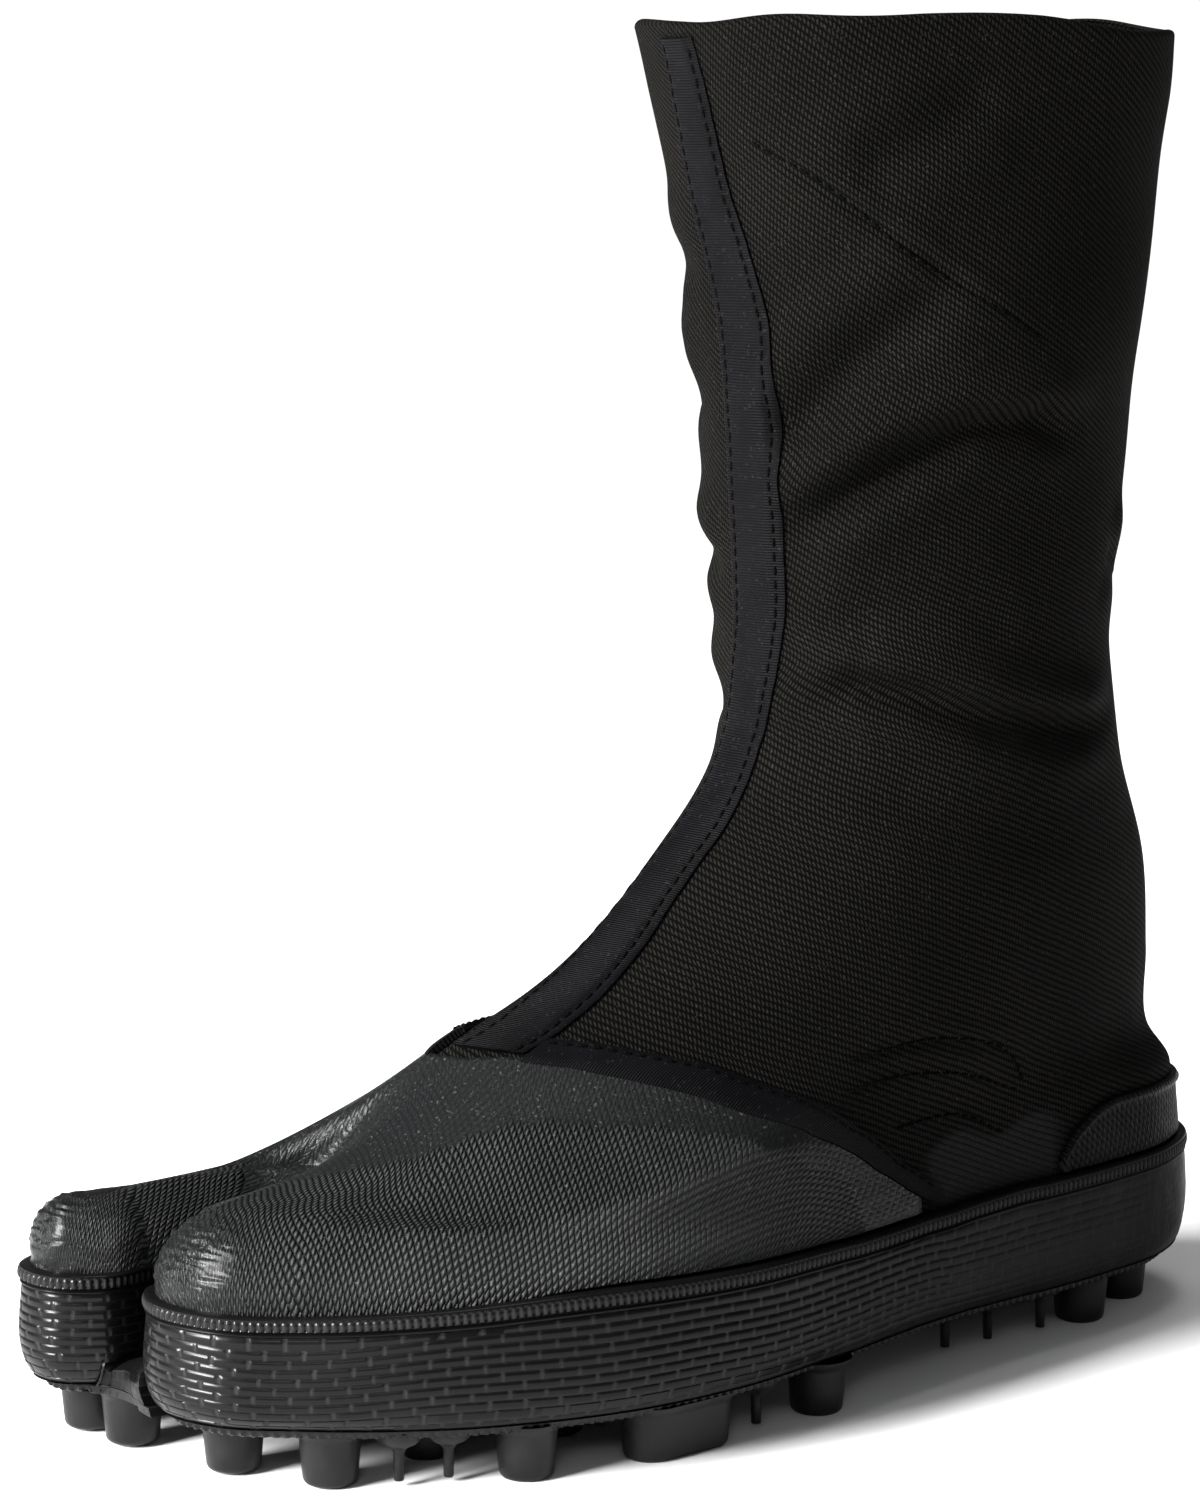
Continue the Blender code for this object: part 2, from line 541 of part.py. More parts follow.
# Thin pins between the studs, each on a low mound
PINS = (
    (0.215, 0.0, -0.352), (0.215, 0.0, -0.225), (0.385, 0.0, -0.062), (-0.340, 0.0, -0.275),
    (-0.300, 0.0, -0.145), (0.020, 0.0, -0.135), (-0.010, 0.0, -0.250), (0.255, 0.0, -0.318),
    (0.0, 0.380, 0.185), (0.0, 0.385, 0.232), (0.0, 0.395, 0.290), (0.0, -0.370, 0.200),
    (0.0, -0.380, 0.280),
)


def add_turned(bm, centre, base, sides, stations, stretch=0.0):
    # Closed turned form hanging down from base; stations are (radius, drop)
    angles = 2 * pi * np.arange(sides) / sides
    rings = []
    for radius, drop in stations:
        x = centre[0] + radius * np.cos(angles)
        y = centre[1] + radius * np.sin(angles) + np.sign(np.sin(angles)) * stretch
        rings.append(np.column_stack([x, y, np.full(sides, base - drop)]))
    loops = add_rings(bm, rings, joined=False)
    bm.faces.new(loops[0])
    bm.faces.new(loops[-1][::-1])


def sole_place(ball, heel, along):
    return np.array([ball * BALL_WIDTH + heel * HEEL_WIDTH, along * FOOT_LENGTH])


def lift_at(y):
    return float(np.interp(y, LIFT_Y, LIFT_Z))


def build_studs():
    # All studs and pins as one body that is joined to the outsole
    root = PLATE * ROOT
    radius = STUD_DIAMETER / 2
    bm = bmesh.new()
    for ball, heel, along, length in STUDS:
        centre = sole_place(ball, heel, along)
        base = STUD_HEIGHT + root + lift_at(centre[1])
        stations = ((radius, 0.0), (radius - STUD_TAPER, root + STUD_HEIGHT * 0.92),
                    (radius - 2 * STUD_TAPER, root + STUD_HEIGHT))
        add_turned(bm, centre, base, STUD_SIDES, stations, stretch=radius * (length - 1.0))
    for ball, heel, along in PINS:
        centre = sole_place(ball, heel, along)
        base = STUD_HEIGHT + root + lift_at(centre[1])
        mound = MOUND_DIAMETER / 2
        pin = PIN_DIAMETER / 2
        stations = ((mound, 0.0), (mound * 0.84, root + MOUND_HEIGHT * 0.66),
                    (pin, root + MOUND_HEIGHT), (pin, root + MOUND_HEIGHT + PIN_HEIGHT))
        add_turned(bm, centre, base, PIN_SIDES, stations)
    bmesh.ops.recalc_face_normals(bm, faces=bm.faces)
    mesh = bpy.data.meshes.new("stud_forms")
    bm.to_mesh(mesh)
    bm.free()
    forms = bpy.data.objects.new("stud_forms", mesh)
    bpy.context.scene.collection.objects.link(forms)
    forms.hide_render = True
    forms.display_type = "WIRE"
    return forms


def build_outsole(finish):
    # Thin studded plate whose rim shows under the foxing, with a plug that fills the foxing
    places = facets_round()
    rim = np.full(len(places), PLATE_OUT * FOXING_BULGE)
    plug = np.full(len(places), -FOXING_BULGE - GAP)
    bm = bmesh.new()
    loops = add_rings(bm, [sole_ring(places, rim, STUD_HEIGHT, True),
                           sole_ring(places, rim, PLATE_TOP, True),
                           sole_ring(places, plug, PLATE_TOP, False),
                           sole_ring(places, plug, PLUG_TOP, False)], joined=False)
    bm.faces.new(loops[0][::-1])
    bm.faces.new(loops[-1])
    cut_at_lifts(bm)
    spring_mesh(bm)
    outsole = make_object("outsole", bm, finish)
    union = outsole.modifiers.new("studs", "BOOLEAN")
    union.operation = "UNION"
    union.solver = "EXACT"
    union.object = build_studs()
    return outsole


def build_insole(finish):
    places = facets_round()
    edge = np.full(len(places), -WALL - GAP)
    bm = bmesh.new()
    loops = add_rings(bm, [sole_ring(places, edge, FEATHER, False),
                           sole_ring(places, edge, FEATHER + INSOLE, False)], joined=False)
    bm.faces.new(loops[0][::-1])
    bm.faces.new(loops[-1])
    cut_at_lifts(bm)
    spring_mesh(bm)
    return make_object("insole", bm, finish)


# Overlays, each a sheet between two offsets of the upper's facets

def facet_grid():
    places = np.append(facets_round(), FRONT)
    levels = level_places(-1.0, COLLAR)
    return places, levels, np.array([surface(places, level) for level in levels])


def on_facets(grid, where, level, out):
    # Point over the flat facets of the upper, out along the smooth normal
    places, levels, points = grid
    where, level = np.broadcast_arrays(np.asarray(where, float), np.asarray(level, float))
    turn = np.mod(where, FRONT)
    i = np.clip(np.searchsorted(places, turn, side="right") - 1, 0, len(places) - 2)
    j = np.clip(np.searchsorted(levels, level, side="right") - 1, 0, len(levels) - 2)
    u = ((turn - places[i]) / (places[i + 1] - places[i]))[..., None]
    v = ((level - levels[j]) / (levels[j + 1] - levels[j]))[..., None]
    low = points[j, i] * (1 - u) + points[j, i + 1] * u
    high = points[j + 1, i] * (1 - u) + points[j + 1, i + 1] * u
    shape = where.shape + (3,)
    normal = surface_normal(where.ravel(), level.ravel()).reshape(shape)
    return low * (1 - v) + high * v + normal * np.asarray(out)[..., None]


def above_foxing(where):
    # Level just over the top of the foxing
    first = surface(where, np.zeros(len(where)))
    second = surface(where, np.ones(len(where)))
    return OVER_FOXING * SEAM_GAP / np.linalg.norm(second - first, axis=1)


def edge_level(table, distance):
    where = np.array([row[0] for row in table])
    level = np.array([row[1] for row in table])
    return np.interp(distance, where, level)


def places_between(low, high, knots=()):
    # Corners of the upper's facets between two places, with the ends and the knots of an edge
    ring = facets_round()
    ring = np.concatenate([ring - FRONT, ring, ring + FRONT, knots, -np.array(knots)])
    ring = np.unique(np.round(ring, 4))
    inner = ring[(ring > low + 0.06) & (ring < high - 0.06)]
    return np.concatenate([[low], inner, [high]])


def build_sheet(name, where, level, thickness, finish, grid, seat=1.0):
    # where and level are grids of one size; thickness is a number or a grid
    under = GAP * seat
    out = np.broadcast_to(np.asarray(thickness, float), where.shape) + under
    inner = on_facets(grid, where, level, np.full(where.shape, under))
    outer = on_facets(grid, where, level, out)
    bm = bmesh.new()
    add_patch(bm, inner, outer)
    spring_mesh(bm)
    return make_object(name, bm, finish)


def build_cover(finish, grid):
    # Rubberised canvas over the toes, from the foxing up to the binding
    where = places_between(-COVER_REACH, COVER_REACH, EDGE_KNOTS)
    low = above_foxing(where)
    high = edge_level(COVER_EDGE, np.abs(where))
    # The rows follow those of the upper, and close up where the cover's edge cuts them off
    rows = level_places(0.0, COVER_EDGE[0][1])
    count = np.arange(len(rows))
    step = np.minimum(ROW_STEP, (high - low) / len(rows))[:, None]
    level = np.maximum(rows[None, :], low[:, None] + step * count)
    level = np.minimum(level, high[:, None] - step * count[::-1])
    level[:, 0] = low
    level[:, -1] = high
    where = np.repeat(where[:, None], len(rows), axis=1)
    return build_sheet("vamp_cover", where, level, COVER, finish, grid, COVER_SEAT)


def walk_ring(level, distance):
    # Place round the ring at a level, a distance to the outer side of its front row
    where = np.linspace(-9.0, 9.0, 181)
    points = surface(where, np.full(len(where), level))
    length = np.concatenate([[0.0], np.cumsum(np.linalg.norm(np.diff(points, axis=0), axis=1))])
    return np.interp(distance, length - np.interp(0.0, where, length), where)


def tape_middle(level):
    rows = np.array([row[0] for row in TAPE_LINE])
    offset = np.array([row[1] for row in TAPE_LINE])
    return np.interp(level, rows, offset) * TAPE_WIDTH


def build_tape(finish, grid):
    # Binding tape that closes the front seam, from the cover up to the collar
    levels = level_places(TAPE_FOOT, COLLAR)
    across = np.linspace(-0.5, 0.5, TAPE_COLUMNS) * TAPE_WIDTH
    where = np.array([walk_ring(level, tape_middle(level) + across) for level in levels])
    level = np.repeat(levels[:, None], len(across), axis=1)
    return build_sheet("front_tape", where, level, TAPE, finish, grid, TAPE_SEAT)


def build_binding(name, side, finish, grid):
    # Strip over the cover's edge, from the front tape down to the foxing; side is 1 or -1
    start = edge_level(BINDING_EDGE, 0.0)
    clear = side * (TAPE_WIDTH / 2 + 2 * SEAM_GAP)
    starts = [float(walk_ring(level, tape_middle(level) + clear)) for level in (TAPE_FOOT, start)]
    end = side * BINDING_REACH
    front = side * max(side * place for place in starts)
    where = places_between(min(front, end), max(front, end), EDGE_KNOTS)
    distance = np.abs(where)
    low = edge_level(COVER_EDGE, distance - BINDING_SEAM) + BINDING_SEAM
    low = np.maximum(low, above_foxing(where))
    high = edge_level(BINDING_EDGE, distance)
    share = np.linspace(0.0, 1.0, BINDING_ROWS)
    level = low[:, None] + (high - low)[:, None] * share[None, :]
    where = np.repeat(where[:, None], len(share), axis=1)
    return build_sheet(name, where, level, BINDING, finish, grid, BINDING_SEAT)


def build_counter(finish, grid):
    # Low rubberised patch round the heel, with a raised edge
    where = places_between(HEEL_ROW - COUNTER_REACH, HEEL_ROW + COUNTER_REACH)
    low = above_foxing(where)
    high = edge_level(COUNTER_EDGE, np.abs(where - HEEL_ROW))
    band = np.minimum(PIPING_WIDTH / TOE_RISE * EDGE_LEVELS, (high - low) * EDGE_MOST)
    foot = high - band
    rise = [low, (low + foot) / 2, foot, high - band * EDGE_RAISED, high]
    level = np.stack(rise, axis=1)
    thickness = np.array([COUNTER, COUNTER, COUNTER, COUNTER + PIPING, COUNTER + PIPING])
    thickness = np.broadcast_to(thickness, level.shape)
    where = np.repeat(where[:, None], level.shape[1], axis=1)
    return build_sheet("heel_counter", where, level, thickness, finish, grid)


def clear_scene():
    for thing in list(bpy.data.objects):
        bpy.data.objects.remove(thing, do_unlink=True)


def centre_on_floor(pieces):
    # Puts the origin on the floor under the middle of the whole boot
    corners = np.array([v.co[:2] for piece in pieces for v in piece.data.vertices])
    middle = (corners.min(axis=0) + corners.max(axis=0)) / 2
    for thing in bpy.data.objects:
        for vert in thing.data.vertices:
            vert.co.x -= middle[0]
            vert.co.y -= middle[1]


def main():
    clear_scene()
    cloth = material("shaft_twill", (0.010, 0.010, 0.011), 0.85)
    canvas = material("rubberised_canvas", (0.030, 0.032, 0.033), 0.5)
    tape = material("binding_tape", (0.014, 0.015, 0.018), 0.6)
    rubber = material("foxing_rubber", (0.022, 0.023, 0.024), 0.45)
    stud_rubber = material("outsole_rubber", (0.016, 0.016, 0.017), 0.5)
    lining = material("insole_cloth", (0.05, 0.05, 0.05), 0.9)
    grid = facet_grid()
    pieces = [build_upper(cloth), build_foxing(rubber), build_outsole(stud_rubber),
              build_insole(lining), build_cover(canvas, grid), build_tape(tape, grid),
              build_binding("vamp_binding_outer", 1, tape, grid),
              build_binding("vamp_binding_inner", -1, tape, grid),
              build_counter(canvas, grid)]
    centre_on_floor(pieces)


if __name__ == "__main__":
    main()
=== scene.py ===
# Looks of the jika tabi: a tall split-toe work boot of the left foot, in black twill,
# rubberised canvas and moulded rubber. Toes to -Y, the outer side of the foot to +X.
from collections import namedtuple
from math import cos, pi, radians, sin

import bpy
import numpy as np
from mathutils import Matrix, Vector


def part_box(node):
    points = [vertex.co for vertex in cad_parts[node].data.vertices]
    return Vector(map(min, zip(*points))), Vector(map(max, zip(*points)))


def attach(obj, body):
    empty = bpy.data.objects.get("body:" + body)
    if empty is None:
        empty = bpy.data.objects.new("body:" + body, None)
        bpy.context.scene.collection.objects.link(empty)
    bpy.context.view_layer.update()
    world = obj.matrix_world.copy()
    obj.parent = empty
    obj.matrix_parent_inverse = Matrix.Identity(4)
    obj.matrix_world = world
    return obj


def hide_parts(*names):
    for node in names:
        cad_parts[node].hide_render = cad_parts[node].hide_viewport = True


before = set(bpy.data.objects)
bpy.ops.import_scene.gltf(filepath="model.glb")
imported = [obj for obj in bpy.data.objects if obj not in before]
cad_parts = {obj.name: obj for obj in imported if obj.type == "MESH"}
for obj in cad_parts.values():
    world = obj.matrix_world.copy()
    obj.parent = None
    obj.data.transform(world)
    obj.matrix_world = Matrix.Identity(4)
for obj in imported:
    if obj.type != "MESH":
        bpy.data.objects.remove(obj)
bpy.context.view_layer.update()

# Sizes of the boot, in metres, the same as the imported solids
sizes = {
    "footLength": 0.275, "ballWidth": 0.100, "heelWidth": 0.066, "toeRise": 0.0125,
    "instepRise": 0.070, "shaftRise": 0.180, "shaftWidth": 0.078, "cleftGap": 0.0135,
    "studHeight": 0.0110, "studDiameter": 0.0125, "studTaper": 0.0008,
    "pinDiameter": 0.0022, "moundDiameter": 0.0100, "plate": 0.0018, "plug": 0.0030,
    "toeSpring": 0.0012, "archLift": 0.0008, "foxingHeight": 0.0262,
    "foxingBulge": 0.0040, "cleftFoxing": 0.0018, "heelFoxing": 0.72,
    "webFront": -0.475, "webDepth": 0.06, "webHeight": 0.26, "plateOut": -0.30,
    "cover": 0.0009, "tape": 0.0010, "tapeWidth": 0.0155, "binding": 0.0012,
    "counter": 0.0009, "piping": 0.0008, "gap": 0.0003, "seamGap": 0.0005,
}

# Levels
plateTop = sizes["studHeight"] + sizes["plate"]
foxingFoot = plateTop + sizes["gap"]
plugTop = plateTop + sizes["plug"]
featherHeight = plugTop + sizes["gap"]
foxingTop = foxingFoot + sizes["foxingHeight"]
bendHeight = foxingTop + sizes["instepRise"]

# The outline of the upper, from the end of the cleft round by the outer side and the heel.
# x is ball, heel and cleft times the ball width, the heel width and the cleft gap, and y is
# along times the foot length. steps: facets up to the next row. zone: which row of zoneTable
# shapes the wall above the foxing. The toe-root ring is the outline moved by rootIn times
# the ball width and rootBack times the foot length, at rootRise times the toe rise over the
# foxing. turn: place on the rings above, 0 is the front.
Row = namedtuple("Row", "ball heel cleft along steps zone rootIn rootBack rootRise turn")
outlineTable = [Row(*row) for row in (
    (-0.290, 0.00, 0.00, -0.297, 1, "cleftEnd", 0.000, 0.022, 0.94, 0),
    (-0.290, 0.00, 0.26, -0.320, 1, "cleftWall", 0.047, 0.028, 1.04, 4),
    (-0.288, 0.00, 0.38, -0.374, 1, "cleftWall", 0.060, 0.062, 1.24, 8),
    (-0.280, 0.00, 0.50, -0.429, 1, "cleftWall", 0.070, 0.106, 1.32, 11),
    (-0.175, 0.00, 0.00, -0.456, 2, "smallTip", 0.055, 0.129, 1.36, 14),
    (-0.090, 0.00, 0.00, -0.471, 2, "smallTip", 0.030, 0.142, 1.36, 17),
    (0.030, 0.00, 0.00, -0.462, 2, "smallTip", 0.010, 0.135, 1.30, 21),
    (0.155, 0.00, 0.00, -0.418, 2, "sideTip", -0.005, 0.098, 1.12, 26),
    (0.280, 0.00, 0.00, -0.358, 2, "ball", -0.020, 0.050, 0.98, 32),
    (0.383, 0.00, 0.00, -0.285, 2, "ball", -0.040, 0.016, 1.00, 39),
    (0.450, 0.00, 0.00, -0.207, 2, "ball", -0.045, 0.006, 1.16, 48),
    (0.470, 0.00, 0.00, -0.109, 2, "ball", -0.045, 0.000, 1.40, 61),
    (0.300, 0.20, 0.00, 0.000, 2, "waist", -0.035, 0.000, 1.60, 77),
    (0.150, 0.37, 0.00, 0.109, 2, "waist", -0.030, 0.000, 1.60, 95),
    (0.030, 0.50, 0.00, 0.218, 2, "waist", -0.022, 0.000, 1.52, 112),
    (0.000, 0.515, 0.00, 0.335, 2, "heel", -0.015, 0.000, 1.40, 132),
    (0.000, 0.460, 0.00, 0.410, 2, "heel", -0.012, -0.002, 1.32, 148),
    (0.000, 0.320, 0.00, 0.465, 2, "heel", -0.008, -0.003, 1.28, 164),
    (0.000, 0.000, 0.00, 0.495, 2, "heel", 0.000, -0.005, 1.28, 180),
    (0.000, -0.310, 0.00, 0.465, 2, "heel", 0.008, -0.003, 1.28, 196),
    (0.000, -0.450, 0.00, 0.410, 2, "heel", 0.012, -0.002, 1.32, 212),
    (0.000, -0.485, 0.00, 0.335, 2, "heel", 0.015, 0.000, 1.40, 230),
    (-0.020, -0.440, 0.00, 0.218, 2, "waist", 0.020, 0.000, 1.52, 249),
    (-0.110, -0.330, 0.00, 0.109, 2, "waist", 0.022, 0.000, 1.60, 270),
    (-0.260, -0.180, 0.00, 0.000, 2, "waist", 0.028, 0.000, 1.60, 291),
    (-0.460, 0.00, 0.00, -0.127, 2, "innerBall", 0.040, 0.000, 1.36, 308),
    (-0.525, 0.00, 0.00, -0.218, 2, "innerBall", 0.052, 0.006, 1.04, 316),
    (-0.565, 0.00, 0.00, -0.309, 2, "innerBall", 0.058, 0.022, 0.82, 322),
    (-0.575, 0.00, 0.00, -0.400, 1, "bigSide", 0.068, 0.084, 0.74, 326),
    (-0.548, 0.00, 0.00, -0.459, 2, "bigSide", 0.077, 0.136, 0.76, 328.5),
    (-0.487, 0.00, 0.00, -0.491, 1, "bigTip", 0.036, 0.160, 0.84, 331),
    (-0.415, 0.00, 0.00, -0.491, 2, "bigTip", -0.022, 0.161, 0.92, 333.5),
    (-0.362, 0.00, 0.00, -0.466, 1, "bigTip", -0.064, 0.139, 0.96, 336),
    (-0.290, 0.00, -0.46, -0.429, 1, "cleftWall", -0.066, 0.106, 0.96, 339),
    (-0.290, 0.00, -0.38, -0.374, 1, "cleftWall", -0.060, 0.062, 0.94, 343),
    (-0.290, 0.00, -0.26, -0.320, 1, "cleftWall", -0.047, 0.028, 0.92, 350),
)]

# Two rings between the foxing and the toe-root ring, for each zone of the outline: inset from
# the outline as a share of the ball width, rise over the foxing as a share of the toe rise.
Zone = namedtuple("Zone", "lowInset lowRise highInset highRise")
zoneTable = {
    "cleftEnd": Zone(0.010, 0.40, 0.030, 0.76),
    "cleftWall": Zone(0.012, 0.42, 0.048, 0.80),
    "smallTip": Zone(0.035, 0.50, 0.115, 0.94),
    "sideTip": Zone(0.025, 0.46, 0.080, 0.86),
    "ball": Zone(0.012, 0.46, 0.036, 0.86),
    "waist": Zone(0.008, 0.48, 0.020, 0.98),
    "heel": Zone(0.003, 0.40, 0.008, 0.84),
    "innerBall": Zone(0.013, 0.36, 0.034, 0.60),
    "bigSide": Zone(0.016, 0.34, 0.042, 0.52),
    "bigTip": Zone(0.024, 0.46, 0.055, 0.68),
}

# Rings over the instep and up the shaft, each in a plane that leans from front to back.
# mid: x of the ring, and side: x of its front beside mid, as shares of the ball width.
# front, back and widest: y as shares of the foot length. lift and backLift: height over the
# foxing as a share of the instep rise, or, past 1, one plus a share of the shaft rise.
# half: half width as a share of the shaft width. point: power of the front half, 2 is an
# ellipse and less is more pointed; innerPoint the same on the inner side. yaw: degrees that
# the ring is turned, less than 0 brings the front to the inner side.
Ring = namedtuple("Ring",
                  "mid side front lift back backLift half widest point innerPoint yaw")
ringTable = [Ring(*row) for row in (
    (0.025, -0.150, -0.219, 0.530, 0.480, 0.330, 0.445, 0.090, 1.85, 1.40, 0),
    (0.020, -0.070, -0.120, 0.745, 0.475, 0.580, 0.455, 0.140, 1.85, 1.50, 0),
    (0.010, -0.030, -0.029, 1.000, 0.459, 0.900, 0.468, 0.190, 1.85, 1.65, -2),
    (0.000, 0.000, 0.052, 1.140, 0.420, 1.110, 0.482, 0.235, 1.90, 1.85, -2),
    (0.000, 0.000, 0.063, 1.270, 0.402, 1.255, 0.505, 0.232, 2.00, 2.00, 0),
    (0.000, 0.000, 0.045, 1.440, 0.410, 1.430, 0.532, 0.228, 2.00, 2.00, 4),
    (0.000, 0.000, 0.040, 1.660, 0.418, 1.650, 0.592, 0.229, 2.05, 2.05, 2),
    (0.000, 0.000, 0.032, 1.835, 0.418, 1.830, 0.608, 0.225, 2.35, 2.35, -9),
    (0.000, 0.000, 0.008, 1.990, 0.414, 2.000, 0.635, 0.210, 2.65, 2.65, -18),
)]

# Top of the foxing along the foot: y as a share of the foot length, and what is added to its
# height, as a share of the foxing's own
foxingLine = ((-0.52, 0.02), (-0.20, 0.0), (0.05, -0.075), (0.13, -0.075), (0.22, -0.03),
              (0.35, -0.03), (0.52, -0.015))

# Edges of the overlays. Each row is a place round the outline, counted from the front row for
# the cover and its binding and from the heel row for the counter, the same on both sides, and
# the level of the edge there, counted in key rings.
coverEdge = ((0.0, 3.98), (4.0, 3.98), (6.4, 4.03), (8.7, 4.00), (10.0, 3.92), (10.84, 3.76),
             (11.8, 3.24), (12.48, 2.16), (12.8, 1.04), (13.0, 0.00))
bindingEdge = ((0.0, 4.24), (6.4, 4.28), (8.7, 4.26), (10.0, 4.16), (10.84, 4.02),
               (11.8, 3.62), (12.5, 2.85), (13.0, 1.30), (13.3, 0.00))
counterEdge = ((0.0, 2.50), (1.6, 2.52), (2.4, 2.52), (2.92, 2.46), (3.16, 2.24), (3.4, 1.44),
               (3.6, 0.00))
coverReach = 12.92       # where the cover ends on each side, counted as in its table
bindingReach = 13.15
bindingSeam = 0.03       # from the cover's edge to the binding's, in levels
counterReach = 3.52
heelRow = 18.0

# Middle of the front tape: level, and how far it lies to the outer side of the front row as a
# share of the tape's width
tapeFoot = 4.06          # level of the tape's lower end
tapeLine = ((4.05, 0.55), (4.30, 0.60), (4.60, 0.50), (5.20, 0.30), (5.80, 0.10), (6.40, 0.00),
             (7.00, -0.20), (7.50, -0.15), (8.20, 0.00), (9.50, 0.00), (10.30, -0.15),
             (10.80, -0.12), (11.40, 0.10), (12.00, 0.35))


# Smooth curves

def arcLength(points, axis):
    step = np.linalg.norm(np.diff(points, axis=axis), axis=-1)
    zero = np.zeros_like(np.take(step, [0], axis=axis))
    return np.concatenate([zero, np.cumsum(step, axis=axis)], axis=axis)


def tangents(points, closed):
    # Slopes at each point for uneven spacing, from its two neighbours
    if closed:
        before = np.roll(points, 1, axis=0)
        after = np.roll(points, -1, axis=0)
    else:
        before = np.vstack([2 * points[:1] - points[1:2], points[:-1]])
        after = np.vstack([points[1:], 2 * points[-1:] - points[-2:-1]])
    dBefore = np.linalg.norm(points - before, axis=-1, keepdims=True) + 1e-9
    dAfter = np.linalg.norm(after - points, axis=-1, keepdims=True) + 1e-9
    slope = ((points - before) / dBefore * dAfter + (after - points) / dAfter * dBefore)
    return slope / (dBefore + dAfter)


def curveAt(points, where, closed=False):
    # Point on the smooth curve through points; where counts rows, 2.5 is half way past row 2
    count = len(points)
    slopes = tangents(points, closed)
    end = count if closed else count - 1
    where = np.clip(where, 0, end) if not closed else np.mod(where, count)
    i = np.minimum(np.floor(where).astype(int), end - 1)
    f = (where - i)[:, None]
    a = points[i]
    b = points[(i + 1) % count]
    span = np.linalg.norm(b - a, axis=-1, keepdims=True)
    h = f * f * (3 - 2 * f)
    return (a + (b - a) * h + slopes[i] * span * (f * (1 - f) ** 2)
            - slopes[(i + 1) % count] * span * (f * f * (1 - f)))


def smooth(x, low, high):
    f = np.clip((x - low) / (high - low), 0.0, 1.0)
    return f * f * (3 - 2 * f)


# The form of the upper

# How far the toes and the waist are raised: y as a share of the foot length, and shares of the
# toe spring and of the arch's lift
liftLine = ((-0.52, 1.0, 0.0), (-0.42, 0.4, 0.0), (-0.32, 0.0, 0.0), (0.02, 0.0, 0.0),
             (0.10, 0.0, 1.0), (0.16, 0.0, 1.0), (0.25, 0.0, 0.0), (0.54, 0.0, 0.0))
liftY = np.array([row[0] for row in liftLine]) * sizes["footLength"]
liftZ = np.array([row[1] * sizes["toeSpring"] + row[2] * sizes["archLift"]
                  for row in liftLine])


def spring(points):
    # Raises the toes and the waist: fully up to the foxing's top, and less and less above it
    points = np.array(points, dtype=float)
    fade = 1.0 - smooth(points[:, 2], foxingTop, bendHeight)
    points[:, 2] += np.interp(points[:, 1], liftY, liftZ) * fade
    return points


def planPlace(ball, heel, along, cleft=0.0):
    # A place seen from above, from shares of the boot's sizes
    return np.array([ball * sizes["ballWidth"] + heel * sizes["heelWidth"]
                     + cleft * sizes["cleftGap"], along * sizes["footLength"]])


def outlineRows():
    return np.array([planPlace(r.ball, r.heel, r.along, r.cleft) for r in outlineTable])


def outward(where, rows):
    # Unit normal of the outline, seen from above
    step = 0.05
    ahead = curveAt(rows, where + step, closed=True)
    behind = curveAt(rows, where - step, closed=True)
    way = ahead - behind
    normal = np.stack([way[:, 1], -way[:, 0]], axis=1)
    return normal / np.linalg.norm(normal, axis=1, keepdims=True)


def foxingEdge(y):
    along = np.array([row[0] for row in foxingLine])
    change = np.array([row[1] for row in foxingLine])
    return foxingTop + sizes["foxingHeight"] * np.interp(y / sizes["footLength"], along, change)


def ringHeight(lift):
    if lift <= 1.0:
        return foxingTop + lift * sizes["instepRise"]
    return bendHeight + (lift - 1.0) * sizes["shaftRise"]


def shaftRing(ring, turns):
    # Points of one leaning ring, front half and back half with their own lengths
    front = ring.front * sizes["footLength"]
    back = ring.back * sizes["footLength"]
    widest = ring.widest * sizes["footLength"]
    c = np.cos(turns)
    s = np.sin(turns)
    backPoint = max(2.0, ring.point)
    power = np.where(c > 0, np.where(s >= 0, 2.0 / ring.point, 2.0 / ring.innerPoint),
                     2.0 / backPoint)
    reach = np.where(c > 0, widest - front, back - widest)
    y = widest - np.sign(c) * np.abs(c) ** power * reach
    x = np.sign(s) * np.abs(s) ** power * ring.half * sizes["shaftWidth"]
    x = x + (ring.mid + ring.side * np.clip(c, 0.0, 1.0) ** 1.5) * sizes["ballWidth"]
    share = (y - front) / (back - front)
    z = ringHeight(ring.lift) * (1 - share) + ringHeight(ring.backLift) * share
    yaw = radians(ring.yaw)
    turnedX = x * cos(yaw) - (y - widest) * sin(yaw)
    turnedY = widest + x * sin(yaw) + (y - widest) * cos(yaw)
    return np.stack([turnedX, turnedY, z], axis=1)


def keyRings():
    # Rings that the surface passes through, one point for each row of the outline
    rows = outlineRows()
    out = outward(np.arange(len(rows)) * 1.0, rows)
    zones = [zoneTable[r.zone] for r in outlineTable]
    top = foxingEdge(rows[:, 1])
    rings = [np.column_stack([rows, top])]
    for insetName, riseName in (("lowInset", "lowRise"), ("highInset", "highRise")):
        inset = np.array([getattr(zone, insetName) for zone in zones]) * sizes["ballWidth"]
        rise = np.array([getattr(zone, riseName) for zone in zones]) * sizes["toeRise"]
        rings.append(np.column_stack([rows - out * inset[:, None], top + rise]))
    move = np.array([(r.rootIn * sizes["ballWidth"], r.rootBack * sizes["footLength"])
                     for r in outlineTable])
    rise = np.array([r.rootRise for r in outlineTable]) * sizes["toeRise"]
    rings.append(np.column_stack([rows + move, foxingTop + rise]))
    turns = np.radians([r.turn for r in outlineTable])
    rings.extend(shaftRing(ring, turns) for ring in ringTable)
    return np.array(rings)


